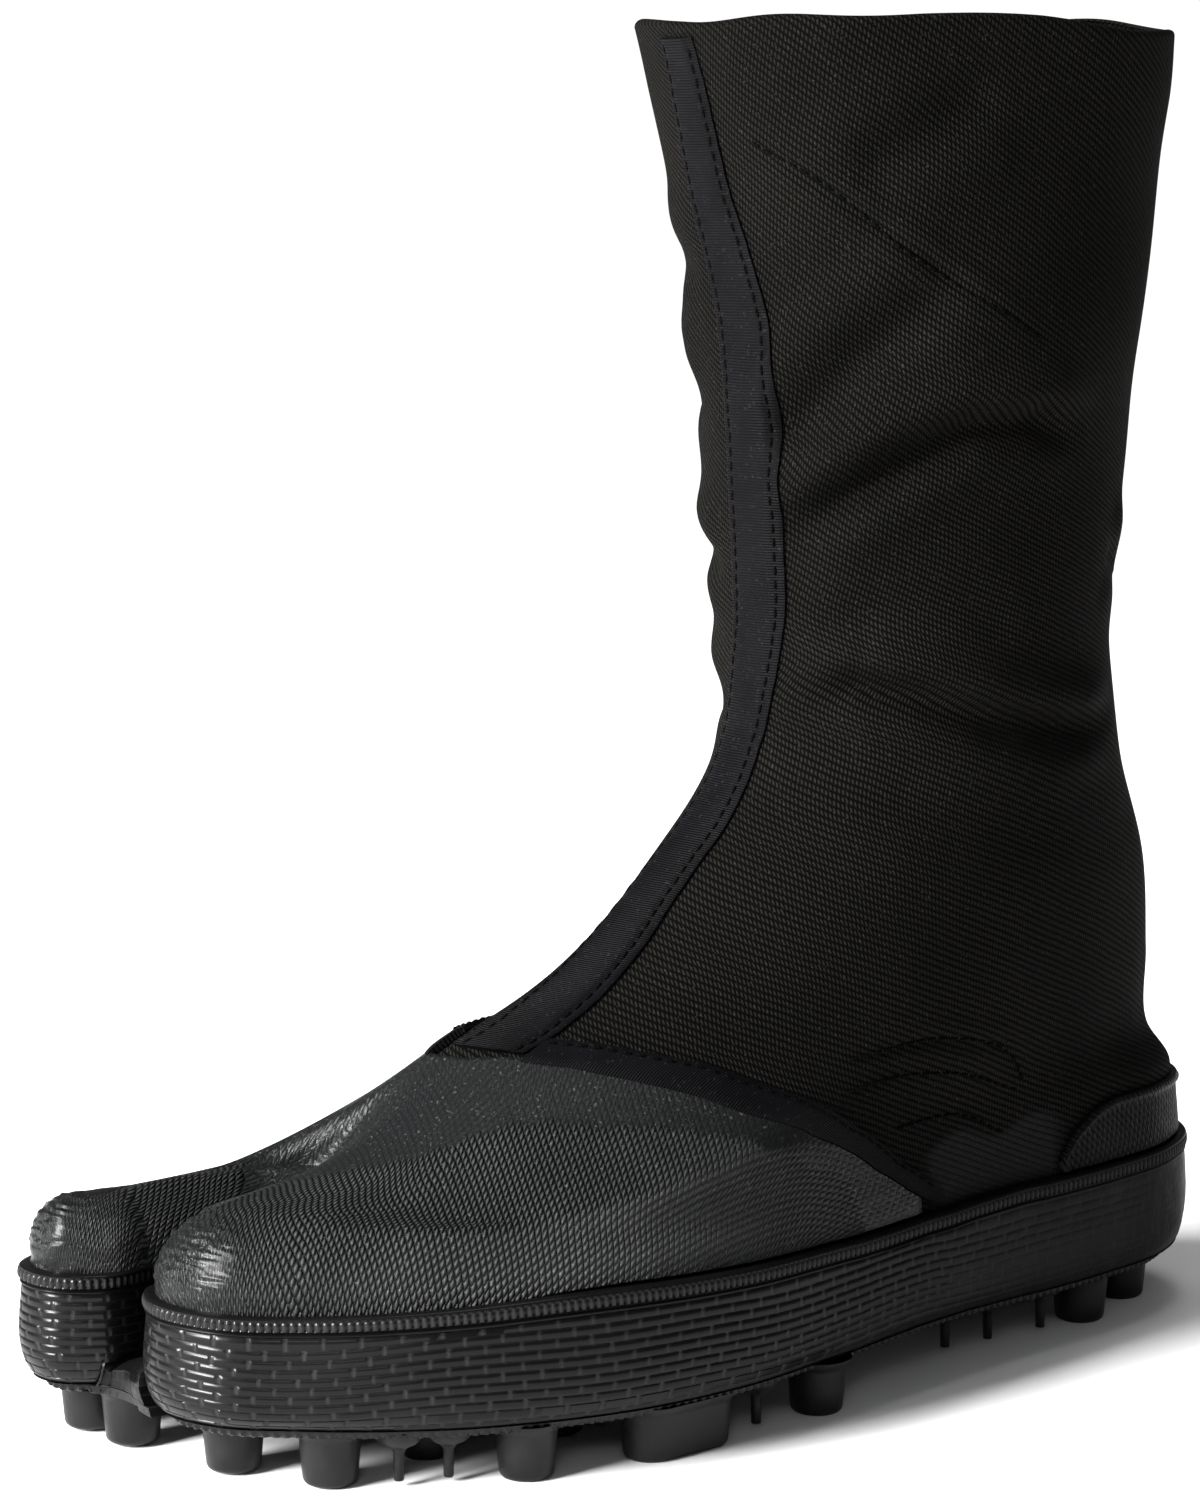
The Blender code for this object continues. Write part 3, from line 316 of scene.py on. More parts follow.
keyTable = keyRings()
collarLevel = len(keyTable) - 1.0       # level of the collar; level 0 is the foxing's top
frontPlace = float(len(outlineTable))   # the front of the shaft, the same place as 0


def surface(where, level):
    # Outer face of the upper; where runs round the rows of the outline, level up the key rings
    where = np.atleast_1d(np.asarray(where, dtype=float))
    level = np.atleast_1d(np.asarray(level, dtype=float))
    where, level = np.broadcast_arrays(where, level)
    shape = where.shape
    where = where.ravel()
    level = level.ravel()
    keys = np.array([curveAt(ring, where, closed=True) for ring in keyTable])
    # Below the first ring the wall is upright, so the first slope is upright too
    rise = np.zeros_like(keys[:1])
    rise[..., 2] = np.linalg.norm(keys[1] - keys[0], axis=1)
    before = np.concatenate([keys[:1] - rise, keys[:-1]])
    after = np.concatenate([keys[1:], 2 * keys[-1:] - keys[-2:-1]])
    dBefore = np.linalg.norm(keys - before, axis=-1, keepdims=True)
    dAfter = np.linalg.norm(after - keys, axis=-1, keepdims=True)
    slope = ((keys - before) / dBefore * dAfter + (after - keys) / dAfter * dBefore)
    slope = slope / (dBefore + dAfter)
    slope[0] = np.array([0.0, 0.0, 1.0])
    i = np.clip(np.floor(level).astype(int), 0, len(keys) - 2)
    f = np.clip(level - i, 0.0, 1.0)[:, None]
    n = np.arange(len(where))
    a = keys[i, n]
    b = keys[i + 1, n]
    span = np.linalg.norm(b - a, axis=-1, keepdims=True)
    # A slope reaches no further than the shorter stretch beside it, so that nothing swells
    reach = 1.5 * np.minimum(dBefore, dAfter)
    leave = slope[i, n] * np.minimum(span, reach[i, n])
    arrive = slope[i + 1, n] * np.minimum(span, reach[i + 1, n])
    point = a + (b - a) * (f * f * (3 - 2 * f)) + leave * (f * (1 - f) ** 2)
    point = point - arrive * (f * f * (1 - f))
    below = np.clip(-level, 0.0, 1.0)
    point[:, 2] += below * (featherHeight - point[:, 2]) * (level < 0)
    return point.reshape(shape + (3,))


def cleftShare(where):
    # 1 between the toes, 0 elsewhere round the outline
    rows = np.arange(len(outlineTable) + 1)
    share = [1.0 if r.zone.startswith("cleft") else 0.0 for r in outlineTable]
    return np.interp(np.mod(where, frontPlace), rows, share + share[:1])


def soleRing(where, out, height, webbed):
    # Level ring round the foot; a webbed one runs straight across the mouth of the cleft
    rows = outlineRows()
    plan = curveAt(rows, where, closed=True) + outward(where, rows) * np.asarray(out)[:, None]
    if webbed:
        mouth = sizes["webFront"] * sizes["footLength"]
        back = (cleftShare(where) > 0) & (plan[:, 1] > mouth)
        plan[back, 1] = mouth + (plan[back, 1] - mouth) * sizes["webDepth"]
    return np.column_stack([plan, np.broadcast_to(height, len(plan))])


def soleLength(steps, outAt, webbed):
    # Places round the outline and the length of a sole ring up to each, closed
    keys = np.linspace(0, frontPlace, steps, endpoint=False)
    ring = soleRing(keys, outAt(keys), 0.0, webbed)
    return np.append(keys, frontPlace), arcLength(np.concatenate([ring, ring[:1]]), 0)


def foxingOut(where, share):
    # Offset outside the upper: the profile's share, thinner inside the cleft and at the heel
    cleft = cleftShare(where)
    along = curveAt(outlineRows(), where, closed=True)[:, 1] / sizes["footLength"]
    bulge = sizes["foxingBulge"] * (1 - (1 - sizes["heelFoxing"]) * smooth(along, 0.15, 0.42))
    return sizes["gap"] + share * (bulge * (1 - cleft) + sizes["cleftFoxing"] * cleft)


# Studs under the sole: x as shares of the ball width and of the heel width, y of the foot
# length, and how many times as long as wide the stud is along the foot
studTable = (
    (-0.510, 0.0, -0.442, 1.0), (-0.365, 0.0, -0.440, 1.0), (-0.085, 0.0, -0.420, 1.0),
    (0.110, 0.0, -0.385, 1.0), (0.320, 0.0, -0.265, 1.0), (0.385, 0.0, -0.142, 2.1),
    (0.370, 0.0, 0.005, 1.0), (-0.480, 0.0, -0.335, 1.0), (-0.450, 0.0, -0.215, 2.1),
    (-0.370, 0.0, -0.075, 1.0), (-0.180, 0.0, -0.325, 1.0), (0.080, 0.0, -0.290, 1.0),
    (-0.120, 0.0, -0.205, 1.0), (0.130, 0.0, -0.180, 1.0), (-0.080, 0.0, -0.090, 1.0),
    (0.150, 0.0, -0.050, 1.0),
    (0.0, 0.360, 0.345, 1.0), (0.0, -0.340, 0.345, 1.0), (0.0, 0.240, 0.423, 1.0),
    (0.0, -0.230, 0.423, 1.0), (0.0, 0.0, 0.265, 1.0), (0.0, 0.010, 0.350, 1.0),
)

# Thin pins between the studs, each on a low mound
pinTable = (
    (0.215, 0.0, -0.352), (0.215, 0.0, -0.225), (0.385, 0.0, -0.062), (-0.340, 0.0, -0.275),
    (-0.300, 0.0, -0.145), (0.020, 0.0, -0.135), (-0.010, 0.0, -0.250), (0.255, 0.0, -0.318),
    (0.0, 0.380, 0.185), (0.0, 0.385, 0.232), (0.0, 0.395, 0.290), (0.0, -0.370, 0.200),
    (0.0, -0.380, 0.280),
)


def liftAt(y):
    return float(np.interp(y, liftY, liftZ))


def sprungSurface(where, level):
    # Outer face of the upper with its toes and waist raised
    return spring(surface(where, level).reshape(-1, 3)).reshape(np.shape(level) + (3,))


def surfaceNormal(where, level, step=0.04):
    where = np.asarray(where, float)
    level = np.minimum(np.asarray(level, float), collarLevel - step)
    across = surface(where + step, level) - surface(where - step, level)
    up = surface(where, level + step) - surface(where, np.maximum(level - step, -1.0))
    normal = np.cross(across, up)
    return normal / (np.linalg.norm(normal, axis=-1, keepdims=True) + 1e-12)


def overlayGrid(where, low, high, share):
    # Levels from the lower to the upper edge of an overlay, and the points and normals of
    # the upper under it
    level = low[None, :] + (high - low)[None, :] * share[:, None]
    where = np.broadcast_to(where, level.shape)
    return level, sprungSurface(where, level), surfaceNormal(where, level)


def walkRing(level, distance, far=16.0):
    # Place round the ring at a level, a distance in metres to the outer side of its front
    where = np.linspace(-far, far, 321)
    points = surface(where, np.full(len(where), level))
    length = arcLength(points, 0)
    return np.interp(distance, length - np.interp(0.0, where, length), where)


def edgeLevel(table, distance, soft=0.32):
    # Level of an overlay's edge, with the corners of its table rounded off
    rows = np.array(table)
    spread = np.linspace(-2 * soft, 2 * soft, 13)
    weight = np.exp(-(spread / soft) ** 2)
    near = np.abs(np.asarray(distance)[..., None] + spread)
    return (np.interp(near, rows[:, 0], rows[:, 1]) * weight).sum(axis=-1) / weight.sum()


def aboveFoxing(where):
    # Level a seam's gap over the top of the foxing
    first = surface(where, np.zeros(len(where)))
    second = surface(where, np.ones(len(where)))
    return 1.25 * sizes["seamGap"] / np.linalg.norm(second - first, axis=1)


def tapeMiddle(level):
    rows = np.array(tapeLine)
    return np.interp(level, rows[:, 0], rows[:, 1]) * sizes["tapeWidth"]


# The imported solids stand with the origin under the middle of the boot; this is the way there
def centreShift():
    places = np.concatenate([i + np.arange(row.steps) / row.steps
                             for i, row in enumerate(outlineTable)])
    ring = soleRing(places, foxingOut(places, 1.0), 0.0, False)
    low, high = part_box("foxing")
    middle = (ring[:, :2].min(axis=0) + ring[:, :2].max(axis=0)) / 2
    packed = np.array([(low[0] + high[0]) / 2, (low[1] + high[1]) / 2])
    return np.append(packed - middle, 0.0)


shift = centreShift()
print("shape ready, shift in mm:", (shift * 1000).round(2))


# Meshes

def makeMesh(name, points, faces, uvs, finish, sharp=None):
    # points (n, 3), faces a list of (m, k) arrays, uvs a matching list of (m, k, 2) in mm
    mesh = bpy.data.meshes.new(name)
    loops = np.concatenate([f.ravel() for f in faces])
    sizesOfFaces = np.concatenate([np.full(len(f), f.shape[1]) for f in faces])
    starts = np.concatenate([[0], np.cumsum(sizesOfFaces)[:-1]])
    mesh.vertices.add(len(points))
    mesh.vertices.foreach_set("co", (points + shift).astype(np.float32).ravel())
    mesh.loops.add(len(loops))
    mesh.loops.foreach_set("vertex_index", loops.astype(np.int32))
    mesh.polygons.add(len(starts))
    mesh.polygons.foreach_set("loop_start", starts.astype(np.int32))
    mesh.polygons.foreach_set("loop_total", sizesOfFaces.astype(np.int32))
    layer = mesh.uv_layers.new(name="cloth")
    flat = np.concatenate([u.reshape(-1, 2) for u in uvs])
    layer.data.foreach_set("uv", flat.astype(np.float32).ravel())
    mesh.update(calc_edges=True)
    mesh.validate()
    mesh.shade_smooth()
    if sharp:
        mesh.set_sharp_from_angle(angle=radians(sharp))
    mesh.materials.append(finish)
    piece = bpy.data.objects.new(name, mesh)
    bpy.context.scene.collection.objects.link(piece)
    return piece


def gridFaces(rows, columns, closed, start=0):
    # Corners of a grid's faces, and the row and column that each face starts from
    r, c = np.meshgrid(np.arange(rows - 1), np.arange(columns if closed else columns - 1),
                       indexing="ij")
    d = (c + 1) % columns
    quads = np.stack([r * columns + c, r * columns + d, (r + 1) * columns + d,
                      (r + 1) * columns + c], axis=-1).reshape(-1, 4) + start
    return quads, r, c


def gridPart(uv, rows, columns, closed, start=0):
    # Faces of one grid with their uv, which is (rows, columns, 2), or a column more if closed
    quads, r, c = gridFaces(rows, columns, closed, start)
    cells = np.stack([uv[r, c], uv[r, c + 1], uv[r + 1, c + 1], uv[r + 1, c]], axis=2)
    return quads, cells.reshape(-1, 4, 2)


def ringMesh(name, points, uv, finish, sharp=None):
    # A grid that closes round on itself
    quads, cells = gridPart(uv, *points.shape[:2], True)
    return makeMesh(name, points.reshape(-1, 3), [quads], [cells], finish, sharp)


def sheetMesh(name, outer, inner, uv, finish, sharp=None):
    # Closed thin sheet: outer grid, inner grid, and the walls along its edges
    rows, columns = outer.shape[:2]
    low = rows * columns
    topFaces, topUv = gridPart(uv, rows, columns, False)
    lowFaces, lowUv = gridPart(uv, rows, columns, False, low)
    faces = [topFaces, lowFaces[:, ::-1]]
    uvs = [topUv, lowUv[:, ::-1]]
    grid = np.arange(low).reshape(rows, columns)
    flatUv = uv.reshape(-1, 2)
    for line, way in ((grid[0], True), (grid[-1], False), (grid[:, 0], False),
                      (grid[:, -1], True)):
        a, b = line[:-1], line[1:]
        quad = np.stack([b, a, a + low, b + low] if way else [a, b, b + low, a + low], axis=1)
        faces.append(quad)
        uvs.append(flatUv[np.mod(quad, low)])
    points = np.concatenate([outer.reshape(-1, 3), inner.reshape(-1, 3)])
    return makeMesh(name, points, faces, uvs, finish, sharp)


threadSet = {"radius": 0.00036, "length": 0.0024, "space": 0.0007, "sides": 6}
# Stations along a stitch, and how thick it is at each
stitchForm = np.array([(0.0, 0.25), (0.14, 0.8), (0.5, 1.0), (0.86, 0.8), (1.0, 0.25)])


def threadMesh(name, runs, finish):
    # Stitches lying along runs; each run is (points, normals), one low rounded thread a stitch
    radius, length, space, sides = (threadSet[key] for key in
                                    ("radius", "length", "space", "sides"))
    share, thick = stitchForm.T
    allPoints, allFaces, start = [], [], 0
    turn = 2 * pi * np.arange(sides) / sides
    for points, normals in runs:
        along = arcLength(points, 0)
        for k in range(int(along[-1] // (length + space))):
            at = (k + 0.1) * (length + space) + share * length
            centre, up = (np.stack([np.interp(at, along, line[:, i]) for i in range(3)], axis=1)
                          for line in (points, normals))
            way = centre[-1] - centre[0]
            way = way / np.linalg.norm(way)
            side = np.cross(way, up)
            side = side / np.linalg.norm(side, axis=1, keepdims=True)
            lift = (thick - 1.0) * radius * 1.3 + radius * 0.25
            centre = centre + up * lift[:, None]
            r = (radius * (0.55 + 0.45 * thick))[:, None, None]
            ring = (centre[:, None] + side[:, None] * (np.cos(turn)[None, :, None] * r)
                    + up[:, None] * (np.sin(turn)[None, :, None] * r))
            allPoints.append(ring.reshape(-1, 3))
            allFaces.append(gridFaces(len(share), sides, True, start)[0])
            start += len(share) * sides
    faces = np.concatenate(allFaces)
    uv = np.stack([(faces % sides) * 0.3, (faces // sides) * 0.6], axis=-1)
    return makeMesh(name, np.concatenate(allPoints), [faces], [uv], finish)


def hold(piece, slotName, *nodes):
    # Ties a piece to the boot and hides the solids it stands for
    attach(piece, "root")
    if nodes:
        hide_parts(*nodes)


# Shader effects that several finishes share

class Shade:
    # The nodes of one material or group; shader is the node that its values end in
    def __init__(self, tree, shader):
        self.tree = tree
        self.shader = shader

    def put(self, socket, value):
        if isinstance(value, bpy.types.NodeSocket):
            self.tree.links.new(value, socket)
        else:
            socket.default_value = (*value, 1.0) if isinstance(value, tuple) else value

    def feed(self, label, value):
        self.put(self.shader.inputs[label], value)

    def node(self, kind, settings=(), **inputs):
        node = self.tree.nodes.new("ShaderNode" + kind)
        for name, value in settings:
            setattr(node, name, value)
        for label, value in inputs.items():
            self.put(node.inputs[label.replace("_", " ")], value)
        return node

    def math(self, operation, *values):
        node = self.node("Math", [("operation", operation)])
        for socket, value in zip(node.inputs, values):
            self.put(socket, value)
        return node.outputs[0]

    def times(self, a, b):
        return self.math("MULTIPLY", a, b)

    def minus(self, a, b):
        return self.math("SUBTRACT", a, b)

    def ramp(self, value, low, high, outLow=0.0, outHigh=1.0, kind="SMOOTHSTEP"):
        return self.node("MapRange", [("interpolation_type", kind)], Value=value, From_Min=low,
                         From_Max=high, To_Min=outLow, To_Max=outHigh).outputs["Result"]

    def line(self, value, low, high, outLow, outHigh):
        return self.ramp(value, low, high, outLow, outHigh, "LINEAR")

    def noise(self, scale, detail, rough=0.5, vector=None):
        if vector is None:
            vector = self.node("TexCoord").outputs["Object"]
        return self.node("TexNoise", Vector=vector, Scale=scale, Detail=detail,
                         Roughness=rough).outputs["Fac"]

    def mix(self, factor, a, b, blend="MIX"):
        node = self.node("Mix", [("data_type", "RGBA"), ("blend_type", blend)])
        for label, value in (("Factor", factor), ("A", a), ("B", b)):
            self.put([s for s in node.inputs if s.name == label and s.enabled][0], value)
        return [s for s in node.outputs if s.enabled][0]

    def shaded(self, colour, shade):
        grey = self.node("CombineColor", Red=shade, Green=shade, Blue=shade)
        return self.mix(1.0, colour, grey.outputs[0], "MULTIPLY")

    def bump(self, height, distance, strength=1.0, before=None):
        node = self.node("Bump", Distance=distance, Strength=strength, Height=height)
        if before is not None:
            self.put(node.inputs["Normal"], before)
        return node.outputs["Normal"]

    def painted(self, name):
        # The number that a piece carries at its vertices under this name
        return self.node("Attribute", [("attribute_name", name)]).outputs["Fac"]

    def cloth(self):
        return self.node("UVMap", [("uv_map", "cloth")]).outputs["UV"]

    def parts(self, vector):
        return self.node("SeparateXYZ", Vector=vector).outputs

    def group(self, name, **inputs):
        return self.node("Group", [("node_tree", groups[name])], **inputs).outputs

    def hump(self, value):
        # Where value stands between two whole numbers, from -1 to 1, and a hump over that
        place = self.minus(self.times(self.math("FRACT", value), 2.0), 1.0)
        return place, self.minus(1.0, self.times(place, place))


def newGroup(name, outputs, **inputs):
    tree = bpy.data.node_groups.new(name, "ShaderNodeTree")
    for label, value in inputs.items():
        kind = "NodeSocketVector" if value is None else "NodeSocketFloat"
        socket = tree.interface.new_socket(label.replace("_", " "), in_out="INPUT",
                                           socket_type=kind)
        if value is not None:
            socket.default_value = value
    for label in outputs:
        tree.interface.new_socket(label, in_out="OUTPUT", socket_type="NodeSocketFloat")
    given = tree.nodes.new("NodeGroupInput").outputs
    return Shade(tree, tree.nodes.new("NodeGroupOutput")), given


def twillGroup():
    # Diagonal ribs of plied yarn, in millimetres of cloth
    look, given = newGroup("twill weave", ("Height", "Crest"), Cloth=None, Rib_Pitch=1.35,
                           Rib_Angle=0.5, Yarn_Length=0.9, Slant=0.3, Yarn_Depth=0.45)
    turn = look.node("VectorRotate", [("rotation_type", "Z_AXIS")], Vector=given["Cloth"],
                     Angle=given["Rib Angle"])
    place = look.parts(turn.outputs[0])
    wobble = look.noise(0.05, 1.0, vector=given["Cloth"])
    sway = look.times(look.minus(wobble, 0.5), 1.2)
    across = look.math("DIVIDE", look.math("ADD", place["Y"], sway), given["Rib Pitch"])
    inRib, ribShape = look.hump(across)
    along = look.math("DIVIDE", place["X"], given["Yarn Length"])
    along = look.math("ADD", along, look.times(look.math("FLOOR", across), 0.5))
    along = look.math("ADD", along, look.times(inRib, given["Slant"]))
    yarnShape = look.hump(along)[1]
    hollow = look.times(look.minus(1.0, yarnShape), given["Yarn Depth"])
    look.feed("Height", look.times(look.math("POWER", ribShape, 0.6), look.minus(1.0, hollow)))
    look.feed("Crest", look.ramp(look.times(ribShape, yarnShape), 0.30, 0.90))
    return look.tree


def wearGroup():
    # Slow blotches and fine specks, in metres of the boot
    look, given = newGroup("dust and rub", ("Blotch", "Speck"), Blotch_Size=40.0,
                           Speck_Size=900.0, Speck_Amount=0.5)
    look.feed("Blotch", look.ramp(look.noise(given["Blotch Size"], 3.0), 0.35, 0.65))
    speck = look.ramp(look.noise(given["Speck Size"], 1.0), 0.66, 0.74)
    look.feed("Speck", look.times(speck, given["Speck Amount"]))
    return look.tree


groups = {"twill": twillGroup(), "wear": wearGroup()}


def newMaterial(name, colour, rough, specular, coatRough=0.03):
    material = bpy.data.materials.new(name)
    material.use_nodes = True
    material.diffuse_color = (*colour, 1.0)
    look = Shade(material.node_tree, material.node_tree.nodes["Principled BSDF"])
    for label, value in (("Base Color", colour), ("Roughness", rough),
                         ("Specular IOR Level", specular), ("Coat Roughness", coatRough)):
        look.feed(label, value)
    return material, look


# The twill's crest colour is a painted highlight on the yarn crests, and "dark" is the black
# cloth with painted shade in the gaps between ribs
twillLook = {"dark": (0.0007, 0.0007, 0.0007), "crestHighlight": (0.0074, 0.0066, 0.0054),
             "smear": (0.0100, 0.0105, 0.0115), "speck": (0.040, 0.038, 0.035),
             "weave": {"Rib_Pitch": 1.35, "Rib_Angle": 0.38, "Yarn_Length": 0.95,
                       "Slant": 0.35},
             "wear": {"Blotch_Size": 22.0, "Speck_Size": 1500.0, "Speck_Amount": 0.25},
             "relief": 0.0005}


def twillMaterial():
    material, look = newMaterial("shaft twill", twillLook["dark"], 0.85, 0.04)
    weave = look.group("twill", Cloth=look.cloth(), **twillLook["weave"])
    wear = look.group("wear", **twillLook["wear"])
    # Painted highlight on the yarn crests over painted shade in the gaps between them
    base = look.mix(weave["Crest"], twillLook["dark"], twillLook["crestHighlight"])
    base = look.shaded(base, look.line(wear["Blotch"], 0.0, 1.0, 0.78, 1.15))
    base = look.mix(look.times(look.painted("smear"), 0.8), base, twillLook["smear"])
    look.feed("Base Color", look.mix(wear["Speck"], base, twillLook["speck"]))
    look.feed("Roughness", look.line(weave["Crest"], 0.0, 1.0, 0.92, 0.70))
    look.feed("Normal", look.bump(weave["Height"], twillLook["relief"]))
    return material


tapeLook = {"colour": (0.0016, 0.0016, 0.0021), "speck": (0.05, 0.05, 0.055),
            "wear": {"Blotch_Size": 90.0, "Speck_Size": 1300.0, "Speck_Amount": 0.15},
            "ribPitch": 0.62, "relief": 0.00008}


def tapeMaterial():
    material, look = newMaterial("binding tape", tapeLook["colour"], 0.6, 0.05)
    along = look.parts(look.cloth())["Y"]
    ribs = look.math("SINE", look.times(along, 2 * pi / tapeLook["ribPitch"]))
    wear = look.group("wear", **tapeLook["wear"])
    # Painted shade in the hollows of the cross ribs and painted highlight on their crests, times
    # slow random blotches
    shade = look.times(look.line(wear["Blotch"], 0.0, 1.0, 0.70, 1.25),
                       look.ramp(ribs, -1.0, 1.0, 0.30, 1.5))
    base = look.shaded(tapeLook["colour"], shade)
    look.feed("Base Color", look.mix(wear["Speck"], base, tapeLook["speck"]))
    look.feed("Normal", look.bump(ribs, tapeLook["relief"]))
    return material


# The crest colour of each canvas is a painted highlight on the crests of its yarn beads
vampLook = {"colour": (0.0040, 0.0042, 0.0042), "crestHighlight": (0.033, 0.0345, 0.034),
            "smooth": (0.0050, 0.0052, 0.0054), "relief": 0.0008, "gloss": 0.10,
            "specks": 0.3, "coat": 0.16,
            "weave": {"Rib_Pitch": 1.45, "Rib_Angle": 0.384, "Yarn_Length": 1.75}}
counterLook = {"colour": (0.0012, 0.0012, 0.0011), "crestHighlight": (0.0058, 0.0058, 0.0052),
               "smooth": (0.0018, 0.0018, 0.0017), "relief": 0.0006, "gloss": 0.05,
               "specks": 0.05, "coat": 0.0,
               "weave": {"Rib_Pitch": 1.6, "Rib_Angle": 0.9, "Yarn_Length": 1.8}}


def canvasMaterial(name, given):
    # Canvas dipped in rubber: beads of yarn, rubbed faint where "faint" is painted, smooth
    # rubber where "dip" is and lumps of it where "wet" is
    material, look = newMaterial(name, given["colour"], 0.42, given["gloss"], 0.21)
    weave = look.group("twill", Cloth=look.cloth(), Slant=0.45, Yarn_Depth=0.85,
                       **given["weave"])
    wear = look.group("wear", Blotch_Size=55.0, Speck_Size=1200.0,
                      Speck_Amount=given["specks"])
    dip, wet, faint = (look.painted(name) for name in ("dip", "wet", "faint"))
    lumps = look.noise(240.0, 2.0)
    grain = look.noise(1100.0, 2.0, 0.6)
    # The bead crests get a painted highlight colour over the canvas's dark colour
    bead = look.times(weave["Crest"], look.minus(1.0, faint))
    base = look.mix(bead, given["colour"], given["crestHighlight"])
    middling = tuple(0.27 * a + 0.73 * b for a, b in zip(given["crestHighlight"], given["colour"]))
    base = look.mix(look.times(faint, 0.8), base, middling)
    base = look.shaded(base, look.line(wear["Blotch"], 0.0, 1.0, 0.85, 1.1))
    base = look.mix(look.times(dip, 0.9), base, given["smooth"])
    look.feed("Base Color", look.mix(wear["Speck"], base, (0.10, 0.10, 0.10)))
    dry = look.line(grain, 0.3, 0.7, 0.40, 0.56)
    look.feed("Roughness", look.minus(dry, look.times(dip, 0.16)))
    look.feed("Coat Weight", look.times(wet, given["coat"]))
    plain = look.times(look.minus(1.0, look.times(dip, 0.88)),
                       look.minus(1.0, look.times(faint, 0.6)))
    relief = look.bump(look.times(weave["Height"], plain), given["relief"])
    relief = look.bump(look.times(lumps, wet), 0.0024, 0.8, relief)
    look.feed("Normal", look.bump(grain, 0.00020, 0.6, relief))
    return material


# The joint colour is a pale painted highlight along the brick joints and on the rib crests
rubberLook = {"colour": (0.0025, 0.0026, 0.0025), "joint": (0.0150, 0.0152, 0.0146),
              "coat": 0.27}


def foxingMaterial():
    # Semi-gloss moulded rubber, with a pale painted highlight where "joint" marks the brick
    # joints and the rib crests
    material, look = newMaterial("foxing rubber", rubberLook["colour"], 0.40, 0.03, 0.22)
    grain = look.noise(900.0, 2.0, 0.6)
    smear = look.noise(70.0, 3.0, 0.55)
    base = look.mix(look.painted("joint"), rubberLook["colour"], rubberLook["joint"])
    look.feed("Base Color", look.shaded(base, look.line(smear, 0.3, 0.7, 0.8, 1.2)))
    look.feed("Roughness", look.line(smear, 0.3, 0.7, 0.30, 0.45))
    look.feed("Coat Weight", look.times(look.painted("shine"), rubberLook["coat"]))
    look.feed("Normal", look.bump(smear, 0.0014, 0.5, look.bump(grain, 0.00010, 0.6)))
    return material


def studMaterial():
    material, look = newMaterial("outsole rubber", (0.006, 0.006, 0.006), 0.40, 0.16)
    grain = look.noise(800.0, 2.0, 0.6)
    smear = look.noise(120.0, 3.0, 0.55)
    look.feed("Base Color", look.mix(look.ramp(smear, 0.3, 0.7), (0.005, 0.005, 0.005),
                                     (0.009, 0.009, 0.009)))
    look.feed("Roughness", look.line(smear, 0.3, 0.7, 0.34, 0.52))
    look.feed("Normal", look.bump(grain, 0.00015, 0.6))
    return material


def yarnMaterial(name, colour, rough, specular, shape, dark, crestHighlight, relief):
    # Two shades over a pattern that shape draws on the laid-out cloth: the lighter is a painted
    # highlight on the pattern's raised parts, the darker painted shade in its hollows
    material, look = newMaterial(name, colour, rough, specular)
    pattern = shape(look, look.parts(look.cloth()))
    look.feed("Base Color", look.mix(look.ramp(pattern, -1.0, 1.0), dark, crestHighlight))
    look.feed("Normal", look.bump(pattern, relief))
    return material


def twist(look, place):
    return look.math("SINE", look.times(look.math("ADD", place["X"], place["Y"]), 9.0))


def plainWeave(look, place):
    return look.times(*(look.math("SINE", look.times(place[way], 2 * pi / 0.7))
                        for way in "XY"))


finishes = {
    "twill": twillMaterial(), "tape": tapeMaterial(),
    "vamp": canvasMaterial("rubberised canvas", vampLook),
    "counter": canvasMaterial("counter canvas", counterLook),
    "foxing": foxingMaterial(), "stud": studMaterial(),
    "thread": yarnMaterial("sewing thread", (0.001, 0.001, 0.001), 0.8, 0.03, twist,
                           (0.0002, 0.0002, 0.0002), (0.0012, 0.0012, 0.0013), 0.00005),
    "lining": yarnMaterial("cotton lining", (0.012, 0.012, 0.013), 0.9, 0.2, plainWeave,
                           (0.008, 0.008, 0.009), (0.018, 0.018, 0.020), 0.0001),
}
print("finishes ready:", len(finishes))


def paint(piece, name, values):
    # A number at every vertex that a finish reads; a sheet has the same on both its faces
    values = np.resize(np.asarray(values, np.float32), len(piece.data.vertices))
    piece.data.attributes.new(name, "FLOAT", "POINT").data.foreach_set("value", values)


# Sewn lines on the cloth, each through places in mm
seams = {
    "quarter upper": (35.1, 12.4, 72.6, 37.2, 34.7, 74.7, 36.2, 55.7, 70.2, 33.0, 66.0, 60.0),
    "quarter middle": (37.3, 10.1, 66.2, 37.0, 24.0, 68.5, 36.8, 38.8, 66.9, 33.6, 65.1, 58.2),
    "quarter lower": (37.4, 22.3, 56.9, 35.3, 41.6, 57.2, 33.6, 60.0, 50.0),
    "calf": (8.0, 8.5, 264.0, 26.3, 16.7, 251.6, 38.2, 31.4, 238.1, 45.5, 56.8, 221.2),
}
seamGroove = (1.0, 1.5, 0.6, 0.3)
foldEnd = 0.22           # share of a fold's length over which it fades out
foldReach = 25           # mm round a fold beyond which it moves nothing

